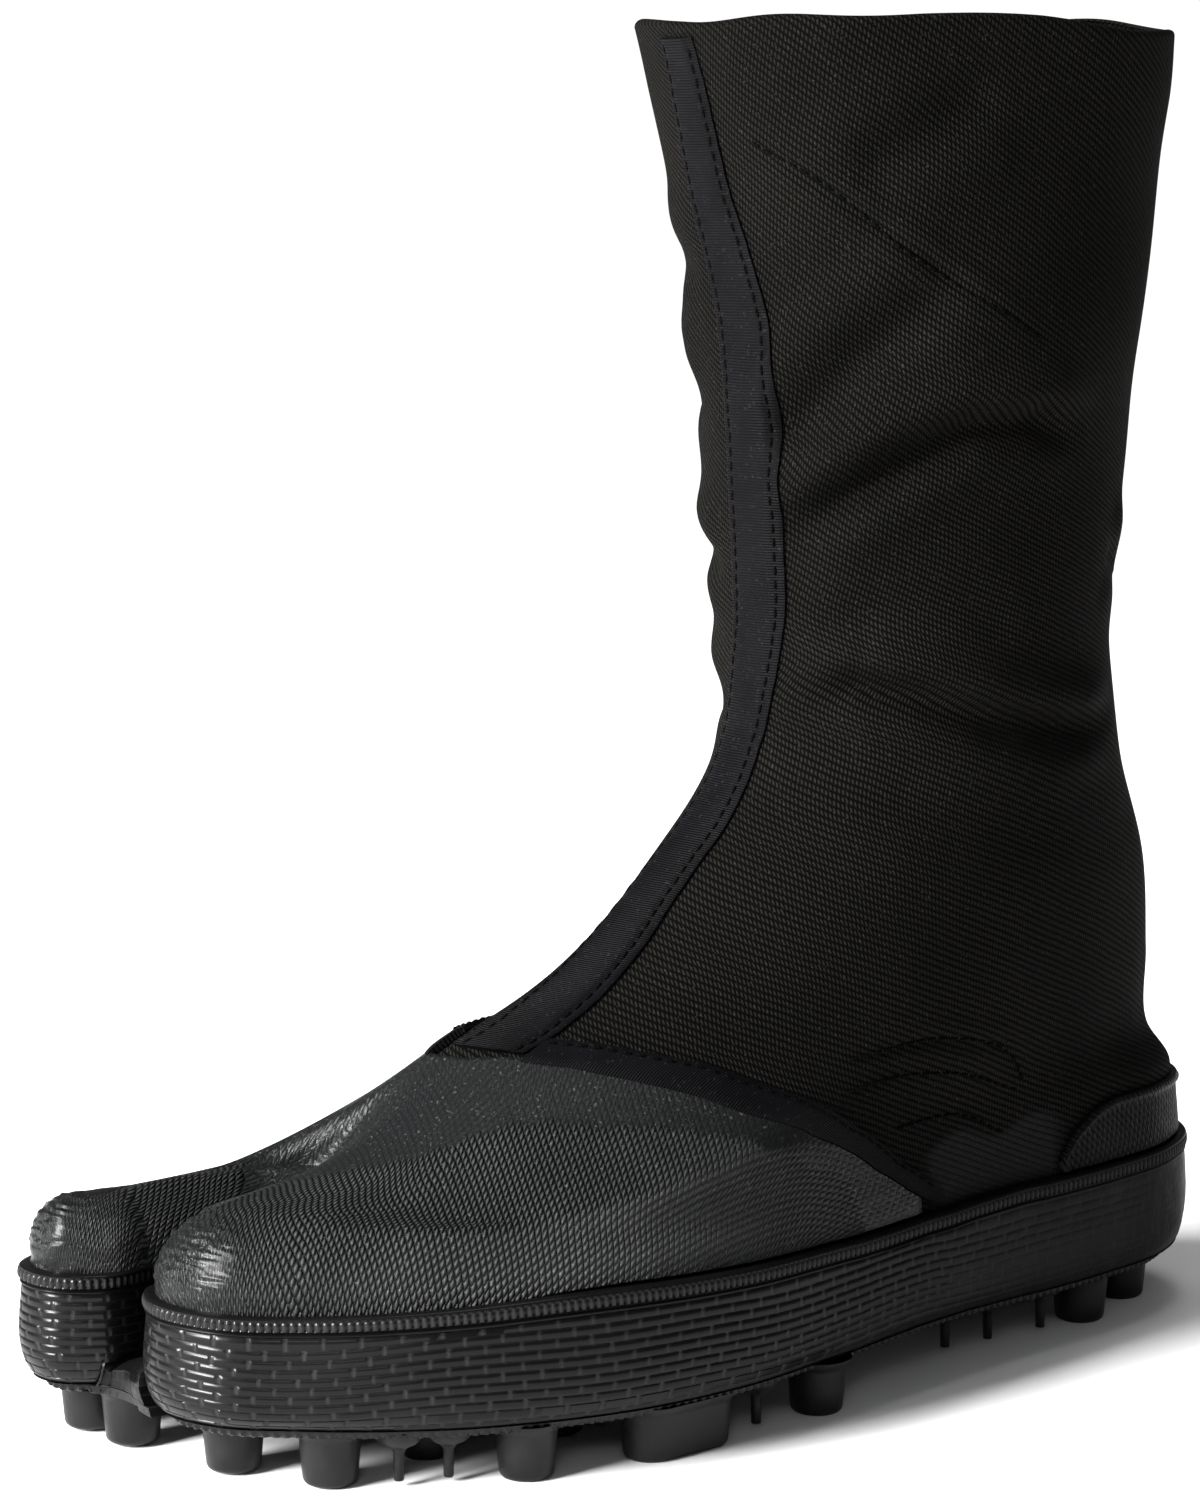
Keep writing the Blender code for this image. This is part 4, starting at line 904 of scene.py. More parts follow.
# Folds of the shaft: a path over the cloth in mm, how deep, how wide, and how far the cloth
# swells above and below it
creases = {
    "under calf": ([(9, 13.5, 179), (16, 17, 185), (24, 20.8, 190), (33.6, 30.2, 197.8),
                    (40.3, 42.1, 204), (43, 58, 205), (42.5, 74, 199)], 4.0, 3.9, 2.6, 1.4),
    "upper calf": ([(9, 11.5, 195), (16, 14.6, 205.9), (26.6, 20.4, 218.6), (36, 30, 229),
                    (42, 40, 236)], 2.6, 5.5, 1.6, 1.0),
    "collar": ([(28, 18, 252), (32.6, 20.9, 259.4), (42.3, 34.6, 269.7), (46, 44, 275)],
               2.1, 5.5, 0.8, 0.8),
    "ankle": ([(10, 18, 146), (21.4, 25.5, 149), (30.2, 36, 146.6), (36.9, 53.7, 141),
               (38, 68.7, 138.4), (30.5, 94.8, 136.3)], 3.8, 3.7, 2.8, 1.3),
    "shin": ([(14, 20, 160), (26, 28, 166), (36, 44, 166), (40, 60, 160)], 1.3, 5.5, 0.8, 0.6),
    "low ankle": ([(16, 22, 122), (28, 34, 124), (36, 54, 118), (34, 78, 112)],
                  1.2, 6.0, 0.8, 0.5),
    "heel notch": ([(36, 88, 176), (30, 104, 170), (16, 112, 168)], 1.6, 4.0, 1.2, 0.8),
    "inner ankle": ([(-14, 22, 140), (-28, 34, 146), (-36, 56, 142), (-34, 80, 138)],
                    2.4, 4.2, 1.8, 0.9),
    "inner shin": ([(-10, 14, 172), (-24, 24, 176), (-36, 46, 170)], 1.8, 4.0, 1.4, 0.9),
    "inner calf": ([(-18, 16, 204), (-30, 26, 212), (-40, 48, 214), (-40, 70, 208)],
                   2.2, 4.6, 1.6, 1.0),
    "inner top": ([(-14, 8, 234), (-30, 18, 238), (-42, 40, 236)], 1.6, 5.0, 1.0, 0.6),
    "back": ([(-20, 108, 180), (0, 114, 176), (20, 110, 182)], 1.4, 4.5, 0.9, 0.6),
}
for name, path in seams.items():
    creases[name] = (np.reshape(path, (-1, 3)),) + seamGroove


def creaseHeight(points):
    # How far the cloth moves out at each point, in metres
    flat = points.reshape(-1, 3) * 1000.0
    move = np.zeros(len(flat))
    for path, depth, width, above, below in creases.values():
        path = np.array(path, float)
        lengths = arcLength(path, 0)
        close = ((flat > path.min(axis=0) - foldReach)
                 & (flat < path.max(axis=0) + foldReach))
        near = np.where(close.all(axis=1))[0]
        if not len(near):
            continue
        some = flat[near]
        best = np.full(len(near), 1e9)
        share = np.zeros(len(near))
        over = np.zeros(len(near))
        for k in range(len(path) - 1):
            way = path[k + 1] - path[k]
            t = np.clip(((some - path[k]) @ way) / (way @ way), 0, 1)
            foot = path[k] + t[:, None] * way
            d = np.linalg.norm(some - foot, axis=1)
            closer = d < best
            best = np.where(closer, d, best)
            share = np.where(closer, (lengths[k] + t * (lengths[k + 1] - lengths[k]))
                             / lengths[-1], share)
            over = np.where(closer, some[:, 2] - foot[:, 2], over)
        side = np.sign(over) * best
        fade = smooth(np.minimum(share, 1 - share), 0.0, foldEnd)
        fade = fade * np.exp(-np.clip(best - 14, 0, None) ** 2 / 30)
        shape = (-depth * np.exp(-(side / width) ** 2)
                 + above * np.exp(-((side - 2.1 * width) / (1.3 * width)) ** 2)
                 + below * np.exp(-((side + 2.1 * width) / (1.3 * width)) ** 2))
        move[near] += shape * fade
    return move.reshape(points.shape[:-1]) / 1000.0


def slackHeight(points):
    # Slow waves of cloth that hangs, more up the shaft than over the foot
    x, y, z = (points[..., k] * 1000.0 for k in range(3))
    wave = (0.35 * np.sin(z / 13.0 + y / 21.0) + 0.28 * np.sin(z / 7.7 - y / 17.0 + x / 19.0)
            + 0.22 * np.sin(x / 9.0 + z / 11.0 + 1.3))
    return wave * smooth(z, 95.0, 150.0) / 1000.0


def ringUv(points, sides):
    # Millimetres of cloth for a closed grid: up is height, round is measured from the middle
    # of the outer and the inner side, whose places along the foot are kept
    columns = points.shape[1]
    loop = np.concatenate([points, points[:, :1]], axis=1)
    around = arcLength(loop[..., :2], 1)
    half = columns // 2
    uv = np.zeros(loop.shape[:2] + (2,))
    outerSide, innerSide = sides
    uv[..., 0] = around - around[:, outerSide:outerSide + 1] + loop[:, outerSide:outerSide + 1, 1]
    inner = around - around[:, innerSide:innerSide + 1] - loop[:, innerSide:innerSide + 1, 1]
    uv[:, half:, 0] = inner[:, half:]
    # The ribs of the weave run steeper up the shaft than at the ankle
    steeper = shaftSet["ribTurn"] * smooth(loop[..., 2], 0.13, 0.23)
    uv[..., 1] = loop[..., 2] + uv[..., 0] * steeper
    return uv * 1000.0


# The cloth boot; hem is the levels over which the collar's shape fades in, and loose is how
# freely the cloth folds at some levels
shaftSet = {"columns": 300, "rows": 270, "liningRows": 110, "collarRoll": 0.0011,
            "inside": 0.0021, "ribTurn": 0.22, "collarDip": 0.0034, "dipTurn": 2.35,
            "dipWidth": 0.75, "collarWave": 0.0005, "hem": (10.6, 12.0),
            "loose": ((3.6, 4.4, 11.55, 12.0), (0.0, 1.0, 1.0, 0.35))}


def turnPlaces(count):
    # Places round the outline that are even round the shaft
    turns = np.array([row.turn for row in outlineTable] + [360.0])
    return np.interp(np.arange(count) * 360.0 / count, turns, np.arange(len(turns)))


def clothPoint(where, level, out=0.0):
    # Point of the cloth with its creases; the flat CAD surface moved along its normal
    base = sprungSurface(where, level)
    normal = surfaceNormal(where, level)
    loose = np.interp(level, *shaftSet["loose"])
    move = (creaseHeight(base) + slackHeight(base)) * loose
    return base + normal * (move + out)[..., None], normal


def buildShaft():
    columns = shaftSet["columns"]
    where = turnPlaces(columns)
    side = np.linspace(0.0, collarLevel, 400)
    length = arcLength(surface(14.0, side), 0)

    def levels(count):
        return np.interp(np.linspace(0, length[-1], count), length, side)

    w, l = np.meshgrid(where, np.append(-0.4, levels(shaftSet["rows"])))
    outer, normal = clothPoint(w, l)
    # The collar hangs lower at its rear outer corner and waves a little
    turn = 2 * pi * np.arange(columns) / columns
    fromDip = (turn - shaftSet["dipTurn"]) / shaftSet["dipWidth"]
    dip = shaftSet["collarDip"] * np.exp(-fromDip ** 2)
    dip = dip + shaftSet["collarWave"] * (np.sin(3 * turn + 0.4) + np.sin(7 * turn))
    outer[..., 2] -= dip * smooth(l, *shaftSet["hem"])
    # The cloth is rolled over at the collar
    roll = shaftSet["collarRoll"]
    lips = [outer[-1] + np.array([0, 0, roll * up]) - normal[-1] * roll * back for up, back in
            ((0.5, 0.13), (0.87, 0.5), (1.0, 1.0), (0.87, 1.5), (0.5, 1.87))]
    points = np.concatenate([outer, np.array(lips)])
    uv = ringUv(points, (columns // 4, columns * 3 // 4))
    piece = ringMesh("upper_twill", points, uv, finishes["twill"])
    # Rubber smeared over the cloth low on the outer quarter
    x, y, z = np.moveaxis(points * 1000.0, -1, 0)
    smear = smooth(x, 5.0, 12.0) * smooth(y, 30.0, 36.0) * (1 - smooth(y, 72.0, 80.0))
    paint(piece, "smear", smear * (1 - smooth(z + 1.5 * np.sin(y / 4.0), 50.5, 52.5)))
    hold(piece, "shaft_twill", "upper")
    w, l = np.meshgrid(where[::2], levels(shaftSet["liningRows"])[::-1])
    inner, _ = clothPoint(w, l, -shaftSet["inside"])
    uv = ringUv(inner, (columns // 8, columns * 3 // 8))
    inner[..., 2] -= (dip[::2] + 0.0006) * smooth(l, *shaftSet["hem"])
    lining = ringMesh("upper_lining", inner, uv, finishes["lining"])
    hold(lining, "shaft_twill", "upper")


buildShaft()
print("cloth boot ready")


def buildSeams():
    # Each mark of a seam is looked up on a fine grid of places and levels of the cloth
    where, level = (grid.ravel() for grid in
                    np.meshgrid(np.arange(0, 36, 0.1), np.arange(0.2, 12.0, 0.05)))
    points = sprungSurface(where, level) * 1000.0
    runs = []
    for path in seams.values():
        found = [np.argmin(((points - mark) ** 2).sum(axis=1)) for mark in
                 np.reshape(path, (-1, 3))]
        keys = np.column_stack([where[found], level[found]])
        line = curveAt(keys, np.linspace(0, len(keys) - 1, 160))
        runs.append(clothPoint(line[:, 0], line[:, 1], 0.00012))
    hold(threadMesh("upper_stitches", runs, finishes["thread"]), "shaft_twill")


buildSeams()
print("seams ready")


tapeSet = {"rows": 330, "columns": 23, "stitchIn": 0.0019, "foot": 0.0015, "head": 0.0025,
           "sway": 0.00016, "channelDepth": 0.00035, "channelWidth": 0.0007,
           "pucker": 0.00010, "puckerPitch": 0.95}


def stripGrid(levels, middle, width, columns):
    # Places of a strip that runs up the front: middle and width in metres at each level
    across = np.linspace(-0.5, 0.5, columns)
    keys = np.linspace(levels[0], levels[-1], 60)
    table = np.array([walkRing(level, np.interp(level, levels, middle)
                               + across * np.interp(level, levels, width), 9.0)
                      for level in keys])
    where = np.stack([np.interp(levels, keys, table[:, k]) for k in range(columns)], axis=1)
    return where, np.repeat(levels[:, None], columns, axis=1), across


def buildTape():
    keys = np.linspace(tapeFoot, collarLevel, 400)
    length = arcLength(surface(0.0, keys), 0)
    steps = np.linspace(tapeSet["foot"], length[-1] - tapeSet["head"], tapeSet["rows"])
    levels = np.interp(steps, length, keys)
    along = np.linspace(0, length[-1], tapeSet["rows"])[:, None] * 1000.0
    sway = tapeSet["sway"] * np.sin(along[:, 0] / 2.9 + 0.8 * np.sin(along[:, 0] / 9.0))
    width = sizes["tapeWidth"]
    where, level, across = stripGrid(levels, tapeMiddle(levels), width + sway,
                                     tapeSet["columns"])
    fromMiddle = np.abs(across)
    crown = 1.0 - (fromMiddle * 2) ** 6
    fromSeam = fromMiddle * width - width / 2 + tapeSet["stitchIn"]
    channel = np.exp(-(fromSeam / tapeSet["channelWidth"]) ** 2)
    pucker = (tapeSet["pucker"] * np.sin(along / tapeSet["puckerPitch"])
              * np.exp(-((fromMiddle - 0.40) / 0.12) ** 2))
    out = (sizes["gap"] + sizes["tape"] * (0.35 + 0.65 * crown)
           - tapeSet["channelDepth"] * channel)[None, :] + pucker
    outer, normal = clothPoint(where, level, out)
    inner, _ = clothPoint(where, level, sizes["gap"] * 0.5)
    uv = np.stack(np.broadcast_arrays(across * width * 1000.0, along), axis=-1)
    hold(sheetMesh("front_tape_cloth", outer, inner, uv, finishes["tape"], sharp=50),
         "binding_tape", "front_tape")
    runs = []
    for edge in (-1, 1):
        place = edge * (0.5 - tapeSet["stitchIn"] / width)
        column = int(round((place + 0.5) * (tapeSet["columns"] - 1)))
        runs.append((outer[:, column], normal[:, column]))
    hold(threadMesh("front_tape_stitches", runs, finishes["thread"]), "binding_tape")


buildTape()
print("front tape ready")


coverSet = {"columns": 350, "rows": 125, "tuck": 0.30, "fullToes": 0.0013,
            "lumps": 0.00032, "edgeDip": 0.4, "topWet": 0.07, "faint": 0.70}
# Wet rubber on each toe tip: its middle and its spread in mm, and how much
toeTips = (((-6, -127), (20, 9), 1.0), ((-46, -134), (13, 11), 1.1))
# Where the smooth rubber begins behind the beaded canvas, seen from above: x and y in mm
bandLine = ((-60, -86), (-52, -88), (-10.7, -100), (6, -79), (20, -54), (37, -31), (41, 1),
            (50, 30))


def toeSpacing():
    # Even steps of cloth round the toes instead of even steps of rows
    where = np.linspace(-coverReach, coverReach, 600)
    length = arcLength(surface(where, 1.0), 0)
    return np.interp(np.linspace(0, 1, coverSet["columns"]), length / length[-1], where)


def buildCover():
    where = toeSpacing()
    plan = curveAt(outlineRows(), where, closed=True)
    low = aboveFoxing(where) - coverSet["tuck"] * smooth(-plan[:, 1], 0.055, 0.10)
    level, base, normal = overlayGrid(where, low, edgeLevel(coverEdge, where),
                                      np.linspace(0.0, 1.0, coverSet["rows"]))
    full = coverSet["fullToes"] * smooth(-plan[:, 1], 0.085, 0.120) * (1 - cleftShare(where))
    swell = np.exp(-((level - 1.4) / 1.2) ** 2) * full[None, :]
    out = sizes["gap"] * 1.8 + sizes["cover"] + swell
    outer = base + normal * out[..., None]
    inner = base + normal * sizes["gap"]
    # The canvas laid out flat: seen from above, and moved out by what stands upright
    drop = arcLength(outer[::-1], 0)[::-1]
    reach = outer[..., :2] - outer[-1:, :, :2]
    extra = np.maximum(drop - np.linalg.norm(reach, axis=-1), 0.0)
    away = outward(where, outlineRows())
    uv = (outer[..., :2] + extra[..., None] * away[None]) * 1000.0
    # Wet rubber: over both toe tips, over the top of the foot, and along the foxing
    x, y, z = np.moveaxis(outer * 1000.0, -1, 0)
    tips = np.max([much * np.exp(-((x - middle[0]) / wide[0]) ** 2
                                 - ((y - middle[1]) / wide[1]) ** 2)
                   for middle, wide, much in toeTips], axis=0)
    band = np.array(bandLine, float)
    ragged = 1.2 * np.sin(x / 3.1) + 0.8 * np.sin(x / 1.3 + y / 2.0)
    top = smooth(y - np.interp(x, band[:, 0], band[:, 1]) + ragged, -2.0, 2.5)
    # It also runs down to the foxing along the edge that the binding covers
    rim = (1.0 - smooth(drop * 1000.0 + ragged, 7.0, 10.0)) * smooth(y, -45.0, -25.0)
    top = np.maximum(top, rim)
    edge = (1.0 - smooth(z, 42.0, 46.0)) * coverSet["edgeDip"]
    rise, fall = x + z + y * 0.6, x - z - y * 0.6
    lumps = (np.sin(rise / 0.66 + 1.2 * np.sin(fall / 1.3))
             * np.sin(fall / 0.72 + 1.1 * np.sin(rise / 1.6)))
    outer = outer + normal * (coverSet["lumps"] * np.clip(tips, 0, 1) * lumps)[..., None]
    piece = sheetMesh("vamp_cover_canvas", outer, inner, uv, finishes["vamp"])
    paint(piece, "wet", np.clip(np.maximum(tips, top * coverSet["topWet"]), 0, 1))
    paint(piece, "faint", smooth(y, -75.0, 5.0) * smooth(x, 0.0, 25.0) * coverSet["faint"])
    paint(piece, "dip", np.clip(np.max([tips, top, edge], axis=0), 0, 1))
    hold(piece, "rubberised_canvas", "vamp_cover")


buildCover()
print("vamp cover ready")


bindingSet = {"columns": 170, "rows": 11, "stitchIn": 0.2, "lap": 0.03, "lift": 0.0014}


def buildBindings():
    share = np.linspace(0.0, 1.0, bindingSet["rows"])
    crown = 1.0 - np.abs(share * 2 - 1) ** 5
    out = bindingSet["lift"] + sizes["binding"] * (0.15 + 0.35 * crown)
    runs = []
    for side, name in ((1, "outer"), (-1, "inner")):
        clear = side * (sizes["tapeWidth"] / 2 + 2 * sizes["seamGap"])
        first = max(side * float(walkRing(level, tapeMiddle(level) + clear))
                    for level in (tapeFoot, edgeLevel(bindingEdge, 0.0)))
        distance = np.linspace(first, bindingReach, bindingSet["columns"])[::side]
        where = side * distance
        low = edgeLevel(coverEdge, distance - bindingSeam) - bindingSet["lap"]
        _, base, normal = overlayGrid(where, np.maximum(low, aboveFoxing(where)),
                                      edgeLevel(bindingEdge, distance), share)
        outer = base + normal * out[:, None, None]
        uv = np.stack([arcLength(outer, 0), arcLength(outer, 1)], axis=-1) * 1000.0
        piece = sheetMesh("vamp_binding_%s_tape" % name, outer, base + normal * sizes["gap"],
                          uv, finishes["tape"], sharp=50)
        hold(piece, "binding_tape", "vamp_binding_" + name)
        row = int(bindingSet["rows"] * (1 - bindingSet["stitchIn"]))
        runs.append((outer[row], normal[row]))
    hold(threadMesh("vamp_binding_stitches", runs, finishes["thread"]), "binding_tape")


buildBindings()
print("bindings ready")


counterSet = {"columns": 220, "rows": 26, "pipingIn": 0.0011, "pipingWidth": 0.0009}


def buildCounter():
    where = np.linspace(heelRow - counterReach, heelRow + counterReach, counterSet["columns"])
    _, base, normal = overlayGrid(where, aboveFoxing(where),
                                  edgeLevel(counterEdge, where - heelRow, 0.10),
                                  np.linspace(0.0, 1.0, counterSet["rows"]) ** 0.8)
    near = np.min([arcLength(base[::-1], 0)[::-1], arcLength(base, 1),
                   arcLength(base[:, ::-1], 1)[:, ::-1]], axis=0)
    piping = np.exp(-((near - counterSet["pipingIn"]) / counterSet["pipingWidth"]) ** 2)
    out = sizes["gap"] + sizes["counter"] + sizes["piping"] * piping
    outer = base + normal * out[..., None]
    inner = base + normal * sizes["gap"] * 0.7
    uv = np.stack([arcLength(outer, 1), arcLength(outer, 0)], axis=-1) * 1000.0
    piece = sheetMesh("heel_counter_canvas", outer, inner, uv, finishes["counter"], sharp=60)
    paint(piece, "dip", np.clip(piping * 1.2, 0, 1) * 0.8)
    hold(piece, "rubberised_canvas", "heel_counter")


buildCounter()
print("heel counter ready")


# The foxing; its top stands a little lower at the toes than the solid's
foxingSet = {"ribPitch": 0.00161, "ribDepth": 0.00045, "columnsPerRib": 4,
             "ribBand": (0.895, 0.966), "ribCrestHighlight": 0.8, "courses": 11, "brick": 0.0076,
             "jointDepth": 0.00026, "jointWidth": 0.00034, "unevenBrick": 0.12,
             "toeDrop": 0.0032, "sway": 0.00045,
             # How crisp the relief and its pale painted highlight are and how the rubber shines,
             # along the foot
             "crisp": ((-0.13, -0.02, 0.06, 0.14), (1.0, 0.85, 0.25, 0.10)),
             "shine": ((-0.13, -0.03, 0.04, 0.14), (1.0, 0.45, 0.12, 0.0))}
# Its face from top to foot: offset as a share of the bulge, height as a share of its own
foxingLip = ((0.30, 1.000), (0.62, 1.004), (0.84, 0.996), (0.92, 0.984), (0.90, 0.972),
             (0.97, 0.964), (1.00, 0.950), (1.02, 0.925), (1.00, 0.900), (0.96, 0.888),
             (0.82, 0.880), (0.80, 0.868), (0.87, 0.860), (0.91, 0.851), (0.88, 0.842),
             (0.80, 0.835))
foxingSide = ((0.80, 0.835), (0.86, 0.74), (0.93, 0.62), (1.00, 0.47), (0.99, 0.36),
              (0.90, 0.24), (0.72, 0.13), (0.45, 0.05), (0.10, 0.000))


def loweredEdge(y):
    # Top of the foxing in the look: lower round the toe tips
    return foxingEdge(y) - foxingSet["toeDrop"] * smooth(-y, 0.062, 0.125)


def buildFoxing():
    keys, length = soleLength(2880, lambda where: foxingOut(where, 1.0), False)
    ribs = int(round(length[-1] / foxingSet["ribPitch"]))
    count = ribs * foxingSet["columnsPerRib"]
    along = np.arange(count) * length[-1] / count
    where = np.interp(along, length, keys)
    phase = (np.arange(count) % foxingSet["columnsPerRib"]) / foxingSet["columnsPerRib"]
    groove = np.where(phase >= 0.5, 1.0, 0.0)
    plan = curveAt(outlineRows(), where, closed=True)
    top = loweredEdge(plan[:, 1])
    # The relief and its pale painted highlight are crisp at the toes and faint at the heel
    crisp, shine = (np.interp(plan[:, 1], *foxingSet[key]) for key in ("crisp", "shine"))
    crisp = crisp * (1 - 0.5 * cleftShare(where))
    rows, joints = [], []

    def addRow(share, height, inward, joint):
        z = foxingFoot + (top - foxingFoot) * height
        out = foxingOut(where, share) - inward
        plain = soleRing(where, out, z, False)
        webbed = soleRing(where, out, z, True)
        level = float(np.mean(height))
        mix = 1.0 - smooth(level, sizes["webHeight"] - 0.06, sizes["webHeight"] + 0.02)
        rows.append(plain * (1 - mix) + webbed * mix)
        joints.append(np.broadcast_to(joint, where.shape))

    for share, height in foxingLip:
        # Rib crests in the band carry the pale painted highlight; the grooves between them are
        # sunk
        ribbed = 1.0 if foxingSet["ribBand"][0] < height < foxingSet["ribBand"][1] else 0.0
        addRow(share, height, groove * ribbed * foxingSet["ribDepth"],
               foxingSet["ribCrestHighlight"] * (1 - groove) * ribbed)
    side = np.array(foxingSide)
    course = foxingSide[0][1] / foxingSet["courses"]
    wave = (np.sin(along / 0.0171) + 0.8 * np.sin(along / 0.0093 + 1.1)
            + 0.6 * np.sin(along / 0.0297 + 2.0)) * foxingSet["sway"] / sizes["foxingHeight"]
    chance = np.random.default_rng(5)
    for k in range(foxingSet["courses"]):
        high = foxingSide[0][1] - k * course
        uneven = chance.uniform(-foxingSet["unevenBrick"], foxingSet["unevenBrick"])
        start = (0.5 * (k % 2) + uneven) * foxingSet["brick"]
        bend = 0.0006 * np.sin(along / 0.013 + k)
        inBrick = np.mod(along + start + bend, foxingSet["brick"])
        gap = np.minimum(inBrick, foxingSet["brick"] - inBrick)
        upright = np.exp(-(gap / foxingSet["jointWidth"]) ** 4)
        inner = smooth(high, 0.0, 0.12)
        for part, deep in ((0.06, 1.0), (0.16, 0.0), (0.96, 0.0)):
            height = high - part * course
            sway = wave * smooth(height, 0.02, 0.2) * (1 - smooth(height, 0.74, 0.83))
            share = np.interp(height, side[::-1, 1], side[::-1, 0])
            # The joints are sunk and carry the pale painted highlight
            joint = np.maximum(deep, upright) * crisp * inner
            addRow(share, height + sway, joint * foxingSet["jointDepth"], joint)
    addRow(0.30, 0.012, 0.0, 0.0)
    addRow(0.10, 0.0, 0.0, 0.0)
    inside = soleRing(where, np.full(count, sizes["gap"] * 0.5), top, False)
    foot = soleRing(where, np.full(count, -sizes["foxingBulge"]), foxingFoot, False)
    rows = [inside] + rows + [foot]
    joints = [joints[0] * 0] + joints + [joints[0] * 0]
    points = spring(np.array(rows).reshape(-1, 3)).reshape(len(rows), count, 3)
    uv = np.zeros((len(rows), count + 1, 2))
    uv[..., 0] = np.append(along, length[-1]) * 1000.0
    uv[..., 1] = np.append(points[..., 2], points[:, :1, 2], axis=1) * 1000.0
    piece = ringMesh("foxing_rubber", points[::-1], uv[::-1], finishes["foxing"], sharp=65)
    paint(piece, "joint", np.array(joints)[::-1])
    paint(piece, "shine", shine)
    hold(piece, "foxing_rubber", "foxing")


buildFoxing()
print("foxing ready")


# The outsole: rim of the plate with its saw-tooth edge, and the studs under it
soleSet = {"toothPitch": 0.0022, "toothDepth": 0.0007, "studSides": 40, "pinSides": 12,
           "sunk": 0.45}
# Rings of the plate's rim: inward, share of the tooth's depth and height over its underside
rimTable = ((0.0012, 0.0, 0.0), (0.0003, 1.0, 0.0001), (0.0, 1.0, 0.0004), (0.0, 0.6, 0.0011),
            (0.0, 0.0, 0.0014))
# Pin on its mound: share of the mound's radius, of the pin's, and the drop under the plate
pinForm = ((0.97, 0.0, 0.0006), (0.88, 0.0, 0.0014), (0.70, 0.0, 0.0022), (0.45, 0.0, 0.0028),
           (0.0, 1.5, 0.0032), (0.0, 1.05, 0.0040), (0.0, 1.0, 0.0060), (0.0, 0.94, 0.0096),
           (0.0, 0.85, 0.0098))
# Foot of a stud: share of the taper, and how far over the ground
studFoot = ((0.9, 0.0012), (1.2, 0.0006), (1.7, 0.0002), (2.2, 0.0))
pointed = 0.00005        # radius that closes a turned form


def turned(centre, base, sides, stations, stretch):
    # Hanging turned form, closed at its lower end; stations are (radius, drop)
    angle = 2 * pi * np.arange(sides) / sides
    rings = [np.column_stack([centre[0] + r * np.cos(angle),
                              centre[1] + r * np.sin(angle) + np.sign(np.sin(angle)) * stretch,
                              np.full(sides, base - drop)]) for r, drop in stations]
    return np.array(rings)[::-1]


def spinePlace(rim):
    # Where each point of the rim ends up on the line along the middle of the sole
    low, high = rim[:, 1].min(), rim[:, 1].max()
    keys = np.linspace(low + 0.03, high - 0.03, 24)
    beside = [rim[np.abs(rim[:, 1] - key) < 0.006, 0] for key in keys]
    middle = [(x.max() + x.min()) / 2 for x in beside]
    y = np.clip(rim[:, 1], keys[0], keys[-1])
    return np.column_stack([np.interp(y, keys, middle), y])


def plateGrid():
    # The plate from the middle of its underside round the toothed rim to its middle above
    edge = sizes["plateOut"] * sizes["foxingBulge"]
    keys, length = soleLength(2000, lambda where: np.full(len(where), edge), True)
    count = int(length[-1] / soleSet["toothPitch"]) * 4
    where = np.interp(np.arange(count) * length[-1] / count, length, keys)
    tooth = np.where(np.arange(count) % 4 < 2, 1.0, 0.0) * soleSet["toothDepth"]
    lowest = sizes["studHeight"]
    rim = soleRing(where, np.full(count, edge), 0.0, True)[:, :2]
    spine = spinePlace(rim)

    def within(share, height):
        return np.column_stack([rim + (spine - rim) * share, np.full(count, height)])

    rows = [within(share, lowest) for share in (1.0, 0.66, 0.33)]
    rows += [soleRing(where, edge - inward - tooth * depth, lowest + rise, True)
             for inward, depth, rise in rimTable]
    rows += [soleRing(where, np.full(count, edge), plateTop, True)]
    rows += [within(share, plateTop) for share in (0.5, 1.0)]
    return spring(np.array(rows).reshape(-1, 3)).reshape(len(rows), count, 3)


def buildOutsole():
    sunk = sizes["plate"] * soleSet["sunk"]
    radius, taper = sizes["studDiameter"] / 2, sizes["studTaper"]
    full = sizes["studHeight"] + sunk
    stud = ((radius + 0.0012, 0.0), (radius + 0.0009, 0.0011), (radius + 0.0002, 0.0017),
            (radius, 0.0024), (radius - taper * 0.5, full * 0.6),
            *((radius - taper * share, full - over) for share, over in studFoot),
            (radius * 0.3, full), (pointed, full))
    mound, thin = sizes["moundDiameter"] / 2, sizes["pinDiameter"] / 2
    pin = ((mound, 0.0), *((mound * low + thin * high, sunk + drop)
                           for low, high, drop in pinForm), (pointed, sunk + pinForm[-1][2]))
    hanging = [(row, soleSet["studSides"], stud, radius * (row[3] - 1.0)) for row in studTable]
    hanging += [(row, soleSet["pinSides"], pin, 0.0) for row in pinTable]
    grids = [plateGrid()]
    for row, sides, stations, stretch in hanging:
        place = planPlace(*row[:3])
        grids.append(turned(place, full + liftAt(place[1]), sides, stations, stretch))
    points, faces, uvs, start = [], [], [], 0
    for grid in grids:
        rows, columns = grid.shape[:2]
        uv = np.zeros((rows, columns + 1, 2))
        uv[..., 0] = np.arange(columns + 1) * 0.4
        uv[..., 1] = np.append(grid[..., 2], grid[:, :1, 2], axis=1) * 1000.0
        quads, cells = gridPart(uv, rows, columns, True, start)
        points.append(grid.reshape(-1, 3))
        faces.append(quads)
        uvs.append(cells)
        start += rows * columns
    piece = makeMesh("outsole_studs", np.concatenate(points), faces, uvs, finishes["stud"],
                     sharp=40)
    hold(piece, "outsole_rubber", "outsole")


buildOutsole()
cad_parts["insole"].data.materials[0] = finishes["lining"]
print("outsole ready")


# Floor, light and camera, placed in the boot's own measures
viewSet = {"azimuth": 50.0, "down": 8.2, "distance": 0.905, "aim": (-0.032, 0.0),
           "height": 0.262, "lens": 4200.0 / 1508.0 * 36.0}
stageSet = {"room": 0.16, "backdrop": 1.05, "floor": (0.90, 0.90, 0.90), "half": 6.0}


